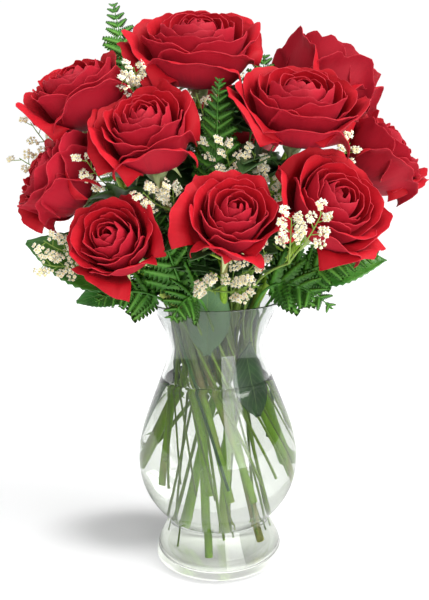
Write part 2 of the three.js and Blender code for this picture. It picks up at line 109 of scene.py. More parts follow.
Salal = namedtuple("Salal", "name ring neck fork up tips")
SALALS = [
    Salal("left", "collar", -140, (-66, -26, 252), (0, -0.8, 0.6), [(-156, -30, 296), (-116, -34, 246)]),
    Salal("right", "collar", 4, (60, -22, 262), (0, -0.8, 0.6), [(144, -30, 276), (112, 10, 260)]),
    Salal("back", "collar", 104, (14, 52, 268), (0, 0.8, 0.6), [(66, 96, 296), (-22, 108, 304)]),
]
LEAF_T = 0.9  # the leaves of the frame's solids are this thick, and those here are thinner
LEAF_WIDTH = 0.25  # half a leaf's width over its length
# Leaves that lie against the inside of the glass: the angle of the rib at its foot and its tip, their
# heights, the spread to one side in degrees, and which face shows outside (1 upper, -1 under).
SUNK_LEAVES = {
    "left": [(150, 138, 168, 260, 27, 1), (-101, -98, 199, 266, 27, -1)],
    "right": [(-44, -52, 208, 146, 23, 1), (30, 40, 184, 262, 27, 1)],
    "back": [(92, 86, 146, 266, 33, 1)],
}
Statice = namedtuple("Statice", "name ring neck fork heads")
STATICES = [
    Statice("far_left", "collar", -166, (-112, 16, 346), [(-156, 8, 396), (-166, 2, 366)]),
    Statice("low_left", "collar", -152, (-88, -46, 282), [(-134, -62, 300), (-136, -64, 282)]),
    Statice("upper_left", "heart", -138, (-54, -16, 411), [(-66, -60, 422), (-60, -47, 432)]),
    Statice("between_left", "heart", -100, (-70, -54, 330), [(-96, -74, 362)]),
    Statice("front_left", "heart", -78, (-30, -66, 320), [(-52, -90, 337), (-30, -88, 339)]),
    Statice(
        "low_centre", "collar", -66, (-2, -54, 256), [(-8, -86, 268), (26, -84, 264), (40, -80, 290)],
    ),
    Statice("centre", "heart", -34, (20, -44, 334), [(9, -68, 372), (33, -66, 364), (-12, -44, 412)]),
    Statice("front_right", "collar", -42, (54, -108, 284), [(54, -126, 318), (74, -134, 322)]),
    Statice("between_right", "heart", -14, (40, -50, 312), [(45, -66, 346)]),
    Statice("middle_right", "heart", 16, (82, -30, 330), [(84, -54, 362), (110, -40, 372)]),
    Statice("upper_right", "heart", 105, (34, 26, 384), [(30, 18, 430), (60, 44, 418)]),
    Statice("back", "heart", 140, (-22, 54, 342), [(-34, 86, 384), (-6, 66, 420)]),
    Statice("back_left", "collar", -178, (-84, 30, 350), [(-118, 34, 392), (-100, 58, 380)]),
]


# ---- numbers and curves ----
def mix(a, b, t):
    return a + (b - a) * t


def ramp(x, low, high):
    """0 below low, 1 above high and smooth between them."""
    t = np.clip((x - low) / (high - low), 0, 1)
    return t * t * (3 - 2 * t)


def chance(seed):
    """The same number between 0 and 1 for the same seed, every time."""
    x = math.sin(seed * 12.9898) * 43758.5453
    return x - math.floor(x)


def vec(*numbers):
    return np.array(numbers, dtype=float)


def unit(v):
    return v / np.linalg.norm(v, axis=-1, keepdims=True)


def around(count):
    """Even turns round a circle, in radians."""
    return 2 * np.pi * np.arange(count) / count


def polar(r, degrees, z):
    turn = np.radians(degrees)
    return np.stack(np.broadcast_arrays(r * np.cos(turn), r * np.sin(turn), z), axis=-1)


def bezier(points, t):
    a, b, c, d = (np.asarray(p, dtype=float) for p in points)
    t = np.asarray(t, dtype=float)[..., None]
    return (1 - t) ** 3 * a + 3 * t * (1 - t) ** 2 * b + 3 * t * t * (1 - t) * c + t**3 * d


def bezier_slope(points, t):
    return unit(bezier(points, np.asarray(t) + 1e-3) - bezier(points, np.asarray(t) - 1e-3))


def smooth_line(points, steps):
    """A round line through the given points, with that many steps from each to the next."""
    p = np.array(points, dtype=float)
    ends = np.vstack([2 * p[0] - p[1], p, 2 * p[-1] - p[-2]])
    line = []
    for a, b, c, d in zip(ends[:-3], ends[1:-2], ends[2:-1], ends[3:]):
        for t in np.arange(steps) / steps:
            pull = (c - a) * t + (2 * a - 5 * b + 4 * c - d) * t**2 + (3 * b - a - 3 * c + d) * t**3
            line.append(b + pull / 2)
    return np.array([*line, p[-1]])


# ---- meshes: grids, closed sheets, tubes and turned bodies ----
class Form:
    """Surfaces that become one mesh. Each point has a place on the pattern and three facts."""

    def __init__(self):
        self.points, self.faces, self.maps, self.facts = [], [], [], []
        self.count = 0

    def add(self, points, faces, maps, facts):
        points = np.asarray(points, dtype=float).reshape(-1, 3)
        self.points.append(points)
        for kept, given, width in ((self.maps, maps, 2), (self.facts, facts, 3)):
            rows = np.asarray(given, dtype=float).reshape(-1, width)
            kept.append(np.broadcast_to(rows, (len(points), width)))
        self.faces += [np.asarray(f) + self.count for f in faces]
        self.count += len(points)

    def sheet(self, grid, thickness, maps, facts):
        """A closed sheet of even thickness about a grid of points. Its normals follow columns x rows."""
        rows, columns = grid.shape[:2]
        across, along = np.gradient(grid, axis=1), np.gradient(grid, axis=0)
        offset = unit(np.cross(across, along)) * thickness / 2
        number = np.arange(rows * columns).reshape(rows, columns)
        a, b, c, d = number[:-1, :-1], number[:-1, 1:], number[1:, 1:], number[1:, :-1]
        front = np.stack([a, b, c, d], axis=-1).reshape(-1, 4)
        back = front[:, ::-1] + rows * columns
        rim = np.concatenate([number[0], number[1:, -1], number[-1, -2::-1], number[-2:0:-1, 0]])
        after = np.roll(rim, -1)
        edge = np.stack([after, rim, rim + rows * columns, after + rows * columns], axis=-1)
        tone, layer = facts
        sides = [np.broadcast_to((tone, side, layer), (rows * columns, 3)) for side in (1.0, 0.0)]
        points = np.concatenate([(grid + offset).reshape(-1, 3), (grid - offset).reshape(-1, 3)])
        maps = np.tile(maps.reshape(-1, 2), (2, 1))
        self.add(points, [front, back, edge], maps, np.concatenate(sides))

    def rings(self, rings, facts):
        """A skin over rings of points, anticlockwise seen from the last one, with flat ends."""
        count, sides = rings.shape[:2]
        number = np.arange(count * sides).reshape(count, sides)
        low, high = number[:-1], number[1:]
        side = np.stack([low, np.roll(low, -1, axis=1), np.roll(high, -1, axis=1), high], axis=-1)
        self.add(rings, [side.reshape(-1, 4), number[:1, ::-1], number[-1:]], (0, 0), facts)

    def tube(self, line, radii, sides, facts=(0, 0, 0)):
        """A closed tube along a line of points."""
        along = unit(np.gradient(line, axis=0))
        across = vec(0, 1, 0) if abs(along[0][0]) > 0.9 else vec(1, 0, 0)
        turn = around(sides)
        rings = []
        for point, way, radius in zip(line, along, np.broadcast_to(radii, len(line))):
            across = unit(across - way * np.dot(way, across))
            other = np.cross(way, across)
            spokes = np.outer(np.cos(turn), across) + np.outer(np.sin(turn), other)
            rings.append(point + radius * spokes)
        self.rings(np.array(rings), facts)

    def turned(self, profile, sides, facts=(0, 0, 0)):
        """A closed body turned about +Z from [radius, height] points, with a flat cap at each end."""
        turn = around(sides)
        r, z = np.array(profile, dtype=float).T
        rings = [np.outer(r, np.cos(turn)), np.outer(r, np.sin(turn)), np.outer(z, np.ones(sides))]
        self.rings(np.stack(rings, axis=-1), facts)

    def mesh(self, name):
        loops = np.concatenate([f.ravel() for f in self.faces]).astype(np.int32)
        corners = np.concatenate([np.full(len(f), f.shape[1]) for f in self.faces])
        starts = np.concatenate([[0], np.cumsum(corners)[:-1]])
        mesh = bpy.data.meshes.new(name)
        mesh.vertices.add(self.count)
        mesh.vertices.foreach_set("co", (np.concatenate(self.points) * MM).ravel())
        mesh.loops.add(len(loops))
        mesh.loops.foreach_set("vertex_index", loops)
        mesh.polygons.add(len(corners))
        mesh.polygons.foreach_set("loop_start", starts.astype(np.int32))
        mesh.update(calc_edges=True)
        mesh.validate()
        mesh.polygons.foreach_set("use_smooth", np.ones(len(mesh.polygons), dtype=bool))
        maps = mesh.uv_layers.new(name="pattern")
        maps.data.foreach_set("uv", np.concatenate(self.maps)[loops].ravel())
        facts = mesh.attributes.new("facts", "FLOAT_VECTOR", "POINT")
        facts.data.foreach_set("vector", np.concatenate(self.facts).ravel())
        return mesh


def place(name, mesh, material, node):
    """Puts a finished mesh into the scene in place of a node of the frame."""
    mesh.materials.clear()
    mesh.materials.append(material)
    piece = bpy.data.objects.new(name, mesh)
    bpy.context.collection.objects.link(piece)
    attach(piece, "root")
    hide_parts(node)


# ---- node trees, for shaders and for growth ----
class Value:
    """A socket that takes part in sums: each operator adds a Math node to its tree."""

    def __init__(self, tree, socket):
        self.tree, self.socket = tree, socket

    def math(self, operation, *others):
        return self.tree.math(operation, self, *others)

    def __add__(self, other):
        return self.tree.math("ADD", self, other)

    def __radd__(self, other):
        return self.tree.math("ADD", other, self)

    def __sub__(self, other):
        return self.tree.math("SUBTRACT", self, other)

    def __rsub__(self, other):
        return self.tree.math("SUBTRACT", other, self)

    def __mul__(self, other):
        return self.tree.math("MULTIPLY", self, other)

    def __rmul__(self, other):
        return self.tree.math("MULTIPLY", other, self)


class Nodes:
    """A node tree that is built by calls."""

    def __init__(self, tree):
        self.tree = tree

    def node(self, kind, settings=None, inputs=None, out=0):
        """Adds a node, sets its properties, then its inputs' values or links, and gives one output."""
        made = self.tree.nodes.new(kind)
        for name, value in (settings or {}).items():
            if name == "stops":
                while len(made.color_ramp.elements) < len(value):
                    made.color_ramp.elements.new(0.5)
                for element, (position, colour) in zip(made.color_ramp.elements, value):
                    element.position, element.color = position, (*colour, 1)
            else:
                setattr(made, name, value)
        for name, value in (inputs or {}).items():
            at = self.number(made.inputs, name)
            if isinstance(value, Value):
                self.tree.links.new(value.socket, made.inputs[at])
            elif isinstance(value, (list, tuple)) and value and isinstance(value[0], Value):
                for each in value:
                    self.tree.links.new(each.socket, made.inputs[at])
            elif isinstance(value, tuple) and made.inputs[at].type == "RGBA":
                made.inputs[at].default_value = (*value, 1)
            else:
                made.inputs[at].default_value = value
        return Value(self, made.outputs[self.number(made.outputs, out)]) if made.outputs else None

    @staticmethod
    def number(sockets, name):
        """A socket's number from its number, its identifier or else its name."""
        if isinstance(name, int):
            return name
        found = [i for i, s in enumerate(sockets) if s.identifier == name]
        return found[0] if found else [s.name for s in sockets].index(name)

    def math(self, operation, *values):
        return self.node("ShaderNodeMath", {"operation": operation}, dict(enumerate(values)))

    def smooth(self, value, low, high):
        """0 where the value is under low, 1 where it is over high."""
        ends = {"Value": value, "From Min": low, "From Max": high}
        return self.node("ShaderNodeMapRange", {"interpolation_type": "SMOOTHSTEP"}, ends)

    def three(self, vector):
        return [self.node("ShaderNodeSeparateXYZ", inputs={0: vector}, out=i) for i in range(3)]

    def length(self, vector):
        return self.node("ShaderNodeVectorMath", {"operation": "LENGTH"}, {0: vector}, "Value")

    def blend(self, factor, a, b):
        """Colour a where the factor is 0, b where it is 1."""
        parts = {"Factor_Float": factor, "A_Color": a, "B_Color": b}
        return self.node("ShaderNodeMix", {"data_type": "RGBA"}, parts, "Result_Color")

    def shade(self, light, shades):
        """A colour from a row of shades, each given with the light at which it shows."""
        return self.node("ShaderNodeValToRGB", {"stops": shades}, {0: light}, "Color")


class Finish(Nodes):
    """A material with one Principled surface."""

    def __init__(self, name):
        self.material = bpy.data.materials.new(name)
        self.material.use_nodes = True
        super().__init__(self.material.node_tree)
        self.tree.nodes.clear()

    def object_place(self):
        return self.node("ShaderNodeTexCoord", out="Object")

    def pattern(self):
        """The piece's own map: across it, and along it."""
        return self.three(self.node("ShaderNodeUVMap", {"uv_map": "pattern"}))[:2]

    def facts(self):
        return self.three(self.node("ShaderNodeAttribute", {"attribute_name": "facts"}, out="Vector"))

    def point(self, x, y, z):
        return self.node("ShaderNodeCombineXYZ", inputs={0: x, 1: y, 2: z})

    def noise(self, at, scale, detail=3.0, roughness=0.5):
        sizes = {"Vector": at, "Scale": scale, "Detail": detail, "Roughness": roughness}
        return self.node("ShaderNodeTexNoise", inputs=sizes, out="Fac")

    def bump(self, height, strength, distance):
        parts = {"Height": height, "Strength": strength, "Distance": distance}
        return self.node("ShaderNodeBump", inputs=parts)

    def surface(self, inputs):
        """Ends the material with its surface."""
        surface = self.node("ShaderNodeBsdfPrincipled", inputs=inputs)
        self.node("ShaderNodeOutputMaterial", inputs={"Surface": surface})
        return self.material


def petal_finish():
    """Deep red velvet with fine veins: painted shade darkens each petal down in the head, and a painted
    highlight lightens its thin lip.
    """
    f = Finish("rose_petal_velvet")
    across, along = f.pattern()
    tone, outer, layer = f.facts()
    fan = f.point(across * 34, along * 1.6, tone * 9)
    veins = f.noise(fan, 1.0, 4.0, 0.6)
    clouds = f.noise(f.object_place(), 70.0, 3.0)
    # painted shade: each petal is darker towards its root, down in the head; tone, clouds and veins are
    # its own variation
    light = f.smooth(along, 0.3, 0.97) * 0.55 + tone * 0.22 + (clouds - 0.5) * 0.6 + (veins - 0.5) * 0.65
    shades = [(0.0, (0.07, 0.001, 0.002)), (0.4, (0.44, 0.005, 0.012)), (1.0, (0.54, 0.008, 0.019))]
    red = f.shade(light + 0.08, shades)
    dull = f.blend(outer * 0.5, red, (0.39, 0.017, 0.04))
    # painted highlight: a thin lighter line along the lips of the outer petals
    edge = f.smooth(along, 0.97, 1.0) * 0.34 * f.smooth(layer, 0.02, 0.3) * f.smooth(veins, 0.25, 0.7)
    coloured = f.blend(edge, dull, (0.64, 0.075, 0.1))
    grain = f.noise(f.object_place(), 1900.0, 2.0)
    height = veins * 0.8 + grain * 0.25
    return f.surface({
        "Base Color": coloured,
        "Roughness": 0.55 + grain * 0.14 - edge * 0.1,
        "Normal": f.bump(height, 0.3, 0.0006),
        "Diffuse Roughness": 0.5,
        "Specular IOR Level": 0.16,
        "Sheen Weight": 0.05,
        "Sheen Roughness": 0.5,
        "Sheen Tint": (1.0, 0.2, 0.28),
    })


def rose_green_finish():
    """Smooth green bark, pale at the hip and stained brown in places, with painted shade in the neck and
    painted light under water; the leaves are darker.
    """
    f = Finish("rose_stem_green")
    at = f.object_place()
    across, along = f.pattern()
    pale, upper, is_leaf = f.facts()
    x, y, z = f.three(at)
    streaks = f.noise(f.point(x * 700, y * 700, z * 26), 1.0, 3.0)
    patches = f.noise(f.point(x * 40, y * 40, z * 11), 1.0, 2.0)
    shades = [(0.32, (0.1, 0.26, 0.01)), (0.5, (0.3, 0.52, 0.03)), (0.66, (0.56, 0.72, 0.13))]
    green = f.shade(streaks * 0.5 + patches * 0.5, shades)
    brown = f.smooth(patches + upper * 0.22, 0.6, 0.8) * 0.7
    bark = f.blend(brown, green, (0.34, 0.19, 0.1))
    # painted shade darkens the stems where they crowd in the neck, and painted light brightens them under
    # water
    painted_neck_shade = f.smooth(z, 0.165, 0.19) * (1 - f.smooth(z, 0.225, 0.248)) * 0.6
    bark = f.blend(painted_neck_shade, bark, (0.07, 0.15, 0.06))
    # painted light: the stems are brighter and greener under the water
    sunk = (1 - f.smooth(z, 0.165, 0.172)) * 0.6
    bark = f.blend(sunk * (1 - brown), bark, (0.28, 0.58, 0.008))
    bark = f.blend(pale, bark, (0.6, 0.72, 0.34))
    away = (across - 0.5).math("ABSOLUTE")
    ribs = (1 - f.smooth(away, 0.0, 0.05)) * 0.5 + (along * 8 - away * 5).math("FRACT") * 0.12
    light = patches * 0.6 + ribs + (1 - upper) * 0.35
    blade = f.blend(light, (0.006, 0.035, 0.006), (0.075, 0.17, 0.04))
    specks = f.noise(at, 1500.0, 2.0)
    return f.surface({
        "Base Color": f.blend(is_leaf, bark, blade),
        "Roughness": 0.38 + specks * 0.2,
        "Normal": f.bump(streaks + specks * 0.3, 0.35, 0.0005),
        "Specular IOR Level": 0.5,
    })


def fern_finish():
    """Leathery green blades, lighter towards their ribs, on stalks that are bright in the vase."""
    f = Finish("fern_green")
    at = f.object_place()
    across, along = f.pattern()
    away = (across - 0.5).math("ABSOLUTE")
    rib = 1 - f.smooth(away, 0.0, 0.16)
    clouds = f.noise(at, 45.0, 3.0)
    veins = f.node("ShaderNodeTexWave", {"bands_direction": "Y"}, {
        "Vector": f.point(across * 3, along * 4 - away * 2.4, 0.0),
        "Scale": 3.2, "Distortion": 1.5, "Detail": 2.0,
    }, "Fac")
    shades = [(0.2, (0.02, 0.1, 0.008)), (0.55, (0.07, 0.26, 0.022)), (0.85, (0.17, 0.42, 0.05))]
    green = f.shade(clouds * 0.75 + veins * 0.16 + rib * 0.16, shades)
    fine = f.noise(at, 900.0, 2.0)
    low = 1 - f.smooth(f.three(at)[2], 0.2, 0.25)
    return f.surface({
        "Base Color": f.blend(low, green, (0.24, 0.4, 0.04)),
        "Roughness": 0.36 + clouds * 0.22,
        "Normal": f.bump(veins * 0.7 + fine * 0.3, 0.35, 0.0004),
        "Specular IOR Level": 0.45,
    })


def salal_finish():
    """Glossy dark leaves with a pale midrib and side veins, matt and pale green underneath."""
    f = Finish("salal_green")
    at = f.object_place()
    across, along = f.pattern()
    tone, upper, is_leaf = f.facts()
    away = (across - 0.5).math("ABSOLUTE")
    rib = (1 - f.smooth(away, 0.004, 0.02)) * is_leaf
    step = (along * 9 - away * 5.5).math("FRACT")
    side = 1 - f.smooth((step - 0.5).math("ABSOLUTE"), 0.02, 0.09)
    side = side * f.smooth(away, 0.01, 0.05) * is_leaf
    clouds = f.noise(at, 55.0, 3.0)
    net = f.node("ShaderNodeTexVoronoi", {"feature": "DISTANCE_TO_EDGE"}, {"Vector": at, "Scale": 420.0})
    shades = [(0.2, (0.01, 0.06, 0.006)), (0.6, (0.03, 0.155, 0.014)), (0.9, (0.08, 0.26, 0.03))]
    green = f.shade(clouds + tone * 0.2, shades)
    matt = f.blend((1 - upper) * is_leaf * 0.7, green, (0.15, 0.285, 0.135))
    veined = f.blend(rib * 0.6 + side * 0.28, matt, (0.2, 0.34, 0.09))
    height = f.smooth(net, 0.0, 0.2) * 0.4 - side * 0.8 - rib
    return f.surface({
        "Base Color": veined,
        "Roughness": 0.42 + clouds * 0.2 - upper * 0.15,
        "Normal": f.bump(height, 0.4, 0.0006),
        "Specular IOR Level": 0.5,
    })


def statice_finish():
    """Papery off-white florets with yellow throats, on green stalks; the florets glow faintly, painted
    light that lifts them where they are shaded.
    """
    f = Finish("statice_white")
    at = f.object_place()
    white, throat, _ = f.facts()
    clouds = f.noise(at, 160.0, 3.0)
    paper = f.blend(f.smooth(clouds, 0.3, 0.45), (0.8, 0.74, 0.5), (0.98, 0.97, 0.88))
    stalk = f.blend(clouds, (0.12, 0.24, 0.035), (0.3, 0.42, 0.09))
    floret = f.blend(throat, paper, (0.7, 0.52, 0.05))
    creases = f.noise(at, 1400.0, 2.0)
    return f.surface({
        "Base Color": f.blend(white, stalk, floret),
        # painted light: the white florets glow faintly, in place of light let through the paper
        "Emission Color": f.blend(white, (0.0, 0.0, 0.0), (0.085, 0.08, 0.06)),
        "Emission Strength": 1.0,
        "Roughness": 0.6 + creases * 0.2,
        "Normal": f.bump(creases, 0.4, 0.0003),
        "Specular IOR Level": 0.3,
    })


def glass_finish():
    """Clear pressed glass with a faint ripple, greyer from the neck up.

    Its ground underside glows: painted light in place of the lit floor seen through it.
    """
    f = Finish("vase_glass")
    at = f.object_place()
    x, y, z = f.three(at)
    ripple = f.noise(f.point(x * 16, y * 16, z * 9), 1.0, 1.0)
    smears = f.noise(f.point(x * 30, y * 30, z * 8), 1.0, 4.0)
    out = f.length(f.point(x, y, 0.0))
    # painted light: the underside glows, as the lit floor seen through it would
    under = (1 - f.smooth(z, 0.005, 0.006)) * (1 - f.smooth(out, 0.0455, 0.047))
    clear = f.blend(smears, (0.86, 0.88, 0.86), (0.905, 0.92, 0.905))
    return f.surface({
        "Base Color": f.blend(f.smooth(z, 0.19, 0.225), clear, (0.75, 0.77, 0.76)),
        "Roughness": f.smooth(smears, 0.55, 0.85) * 0.03 + under * 0.16,
        "Emission Color": f.blend(under, (0.0, 0.0, 0.0), (0.49, 0.49, 0.475)),
        "Emission Strength": 1.0,
        "Normal": f.bump(ripple, 0.12, 0.004),
        "Transmission Weight": 1.0,
        "IOR": 1.48,
    })


def water_finish():
    """Clear water, a little green and barely rippled."""
    f = Finish("vase_water")
    at = f.object_place()
    ripple = f.noise(at, 30.0, 2.0)
    return f.surface({
        "Base Color": f.blend(ripple, (0.9, 0.915, 0.87), (0.93, 0.94, 0.9)),
        "Roughness": 0.0,
        "Normal": f.bump(ripple, 0.05, 0.002),
        "Transmission Weight": 1.0,
        "IOR": 1.333,
    })


def floor_finish():
    """A pale floor that glows with painted light, which washes out the cast shadow but for a short patch
    beside the foot, and glows more under the vase as painted light gathered by the glass.
    """
    f = Finish("studio_floor")
    at = f.object_place()
    clouds = f.noise(at, 3.0, 2.0)
    # painted light: more glow under the vase, where the glass would gather light
    painted_light_under_vase = 1 - f.smooth(f.length(at), 0.03, 0.05)
    x, y, _ = f.three(at)
    # painted light: the floor glows except in a short patch beside the foot, so only there does the cast
    # shadow show
    from_shadow_patch = f.length(f.point(x + 0.085, (y - 0.05) * 1.7, 0.0))
    painted_glow_off_shadow = f.smooth(from_shadow_patch, 0.028, 0.115)
    paper = f.blend(clouds, (0.78, 0.78, 0.78), (0.82, 0.82, 0.82))
    lit = f.blend(painted_glow_off_shadow, (0.05, 0.05, 0.05), (0.55, 0.55, 0.55))
    return f.surface({
        "Base Color": f.blend(painted_glow_off_shadow, paper, (0.55, 0.55, 0.55)),
        "Roughness": 0.75,
        "Specular IOR Level": 0.2,
        "Emission Color": f.blend(painted_light_under_vase, lit, (0.62, 0.62, 0.61)),
        "Emission Strength": 1.0,
    })


# ---- growth: lines become stalks, and loose points carry shoots ----
def growth_tree():
    """Turns a carrier's lines into round stalks and puts a shoot, crown or leaf on each loose point."""
    group = bpy.data.node_groups.new("growth", "GeometryNodeTree")
    g = Nodes(group)
    kinds = {
        "Stalks and Buds": "Geometry", "Sides": "Int", "Shoot": "Object", "Crown": "Object",
        "Leaf": "Object", "Scatter": "Float", "Size Jitter": "Float", "Seed": "Int",
        "Finish": "Material",
    }
    for name, kind in kinds.items():
        group.interface.new_socket(name=name, in_out="INPUT", socket_type=f"NodeSocket{kind}")
    group.interface.new_socket(name="Grown", in_out="OUTPUT", socket_type="NodeSocketGeometry")
    entry = group.nodes.new("NodeGroupInput")
    given = {name: Value(g, entry.outputs[name]) for name in kinds}

    def named(name, kind="FLOAT"):
        settings = {"data_type": kind}
        return g.node("GeometryNodeInputNamedAttribute", settings, {"Name": name}, "Attribute")

    def draw(low, high, salt):
        parts = {"Min_001": low, "Max_001": high, "Seed": given["Seed"] + salt}
        return g.node("FunctionNodeRandomValue", {"data_type": "FLOAT"}, parts, "Value_001")

    curves = g.node("GeometryNodeMeshToCurve", inputs={"Mesh": given["Stalks and Buds"]})
    section = {"Resolution": given["Sides"], "Radius": 1.0}
    circle = g.node("GeometryNodeCurvePrimitiveCircle", inputs=section)
    stalks = g.node("GeometryNodeCurveToMesh", inputs={
        "Curve": curves, "Profile Curve": circle, "Scale": named("radius"), "Fill Caps": True,
    })
    axes = {"Primary Axis": named("face", "FLOAT_VECTOR"), "Secondary Axis": named("aim", "FLOAT_VECTOR")}
    turn = g.node("FunctionNodeAxesToRotation", {"primary_axis": "Z", "secondary_axis": "X"}, axes)
    back = given["Scatter"] * -1
    sway = g.node("ShaderNodeCombineXYZ", inputs={i: draw(back, given["Scatter"], i) for i in range(3)})
    sway = g.node("FunctionNodeEulerToRotation", inputs={0: sway})
    swayed = g.node("FunctionNodeRotateRotation", {"rotation_space": "LOCAL"}, {0: turn, 1: sway})
    size = named("size") * (1 + draw(given["Size Jitter"] * -1, given["Size Jitter"], 3))
    grown = [stalks]
    for name, low, high in (("Shoot", 0.5, 1.5), ("Crown", 1.5, 2.5), ("Leaf", 2.5, 3.5)):
        repeated = {"Object": given[name], "As Instance": True}
        shape = g.node("GeometryNodeObjectInfo", inputs=repeated, out="Geometry")
        kind = named("kind")
        chosen = kind.math("GREATER_THAN", low) * kind.math("LESS_THAN", high)
        grown.append(g.node("GeometryNodeInstanceOnPoints", inputs={
            "Points": given["Stalks and Buds"], "Selection": chosen, "Instance": shape,
            "Rotation": turn if name == "Crown" else swayed, "Scale": size,
        }))
    joined = g.node("GeometryNodeJoinGeometry", inputs={0: grown[::-1]})
    real = g.node("GeometryNodeRealizeInstances", inputs={0: joined})
    smooth = g.node("GeometryNodeSetShadeSmooth", inputs={0: real, "Shade Smooth": True})
    finished = g.node("GeometryNodeSetMaterial", inputs={0: smooth, "Material": given["Finish"]})
    end = group.nodes.new("NodeGroupOutput")
    group.links.new(finished.socket, end.inputs[0])
    return group


class Plant:
    """What the growth tree works on: stalks, and buds that each carry a shoot, a crown or a leaf."""

    def __init__(self):
        self.points, self.edges, self.rows = [], [], []

    def stalk(self, line, radii, facts=(0, 0, 0)):
        start = len(self.points)
        self.points += list(line)
        self.edges += [(i, i + 1) for i in range(start, len(self.points) - 1)]
        for radius in np.broadcast_to(radii, len(line)):
            self.rows.append((radius * MM, 0, 0, (0, 0, 1), (1, 0, 0), facts))

    def bud(self, at, aim, face, size, kind=1):
        """Aim is where the +X of what it carries goes, and face where its +Z goes.

        The kind is 1 for a shoot, 2 for a crown and 3 for a leaf.
        """
        self.points.append(at)
        self.rows.append((0, size, kind, tuple(face), tuple(aim), (0, 0, 0)))

    def grow(self, name, tree, values):
        """A plain mesh of the grown plant."""
        mesh = bpy.data.meshes.new(name)
        mesh.from_pydata([tuple(np.asarray(p) * MM) for p in self.points], self.edges, [])
        kinds = {"radius": "FLOAT", "size": "FLOAT", "kind": "FLOAT", "face": "FLOAT_VECTOR",
                 "aim": "FLOAT_VECTOR", "facts": "FLOAT_VECTOR"}
        for column, (title, kind) in enumerate(kinds.items()):
            data = mesh.attributes.new(title, kind, "POINT").data
            numbers = np.array([row[column] for row in self.rows], dtype=float).ravel()
            data.foreach_set("value" if kind == "FLOAT" else "vector", numbers)
        carrier = bpy.data.objects.new(name, mesh)
        bpy.context.collection.objects.link(carrier)
        growth = carrier.modifiers.new("growth", "NODES")
        growth.node_group = tree
        for item in tree.interface.items_tree:
            if item.in_out == "INPUT" and item.name in values:
                growth[item.identifier] = values[item.name]
        seen = carrier.evaluated_get(bpy.context.evaluated_depsgraph_get())
        grown = bpy.data.meshes.new_from_object(seen)
        bpy.data.objects.remove(carrier)
        for title in ("radius", "size", "kind", "face", "aim"):
            if title in grown.attributes:
                grown.attributes.remove(grown.attributes[title])
        return grown


def shoot_object(name, form):
    """A small form that the growth tree repeats. It isn't shown itself."""
    return bpy.data.objects.new(name, form.mesh(name))


# ---- routes of the stems ----
STRAIGHT_POINTS = 6  # from the cut end up to the neck


def root_of(piece, seed):
    """Where a stem is cut, where it passes the neck, and the way it points there."""
    ring = RINGS[piece.ring]
    neck = polar(ring.neck, piece.neck, NECK_Z)
    foot = mix(polar(ring.foot, piece.neck + ring.twist, ring.z), neck, 0.12 * chance(seed))
    return foot, neck, unit(neck - foot)


def bend_of(root, via, end):
    """The curve from the neck, past via, to the end; it sets out the way the stem points."""
    _, neck, rise = root
    return neck, neck + rise * 0.4 * np.linalg.norm(via - neck), via, end


def bend_to_fork(root, fork):
    """A bend that passes the rim near the axis."""
    share = min(0.6, VIA_R / math.hypot(fork[0], fork[1]))
    via = vec(share * fork[0], share * fork[1], max(VIA_Z, mix(NECK_Z, fork[2], 0.6)))
    return bend_of(root, via, fork)


def stem_line(root, bend, steps, end=1.0):
    """The straight part from the cut end to the neck, then the bend."""
    foot, neck, _ = root
    straight = [mix(foot, neck, t) for t in np.linspace(0, 1, STRAIGHT_POINTS + 1)[:-1]]
    return np.array([*straight, *bezier(bend, np.linspace(0, end, steps))])


# ---- roses ----
PETALS = 20, 27  # on a closed head and on a fully open one
PETAL_TURN = 137.5  # degrees round the head from one petal to the next
PETAL_T = 0.55
LIP_ROLL = 5.5  # how far a guard petal's rolled lip stands out from its wall
ACROSS, UP = 25, 19  # points over a petal
FIRST_GUARD = 50  # guards are numbered from here, and the other petals from 0
# The petals that hang lowest on each head: the angle round the head, and how far they droop.
GUARDS = {
    "top": [(190, 0.2), (262, 0.0)],
    "upper_left": [(200, 0.05), (285, 0.0)],
    "middle_left": [(170, 0.05), (275, 0.0)],
    "left": [(262, 0.1), (330, 0.0)],
    "lower_left": [(226, 0.22), (20, 0.0)],
    "centre": [(264, 0.03), (160, 0.0)],
    "lower_right": [(318, 0.22), (190, 0.08)],
    "middle_right": [(268, 0.1), (195, 0.0)],
    "upper_right": [(335, 0.28), (215, 0.16), (285, 0.14)],
    "right": [(5, 0.0), (285, 0.0)],
    "back_left": [(60, 0.2), (150, 0.1)],
    "back": [(90, 0.2), (20, 0.1)],
}


def petal_line(rose, layer, t):
    """Radius and height of a petal's middle line, t from root to lip, layer from heart to guard."""
    lip = mix(0.97, 0.8, rose.open)
    r = [0.07, mix(0.2, 0.84, layer), mix(0.25, 0.84, layer), mix(0.03, 0.97, layer)]
    z = [mix(0.1, 0.02, layer), mix(0.1, -0.05, layer), mix(0.85, 0.66, layer), mix(1, lip, layer**2)]
    w = [(1 - t) ** 3, 3 * t * (1 - t) ** 2, 3 * t * t * (1 - t), t**3]
    reach = rose.r - LIP_ROLL * layer
    return reach * sum(a * b for a, b in zip(r, w)), rose.h * sum(a * b for a, b in zip(z, w))


def swell(rose, angle, layer):
    """How the head bulges in and out round its middle, from -1 to 1: neighbours bend together."""
    a = np.radians(angle)
    return 0.6 * np.sin(2 * a + rose.spin) + 0.4 * np.sin(5 * a + 2.1 * rose.spin + 1.5 * layer)


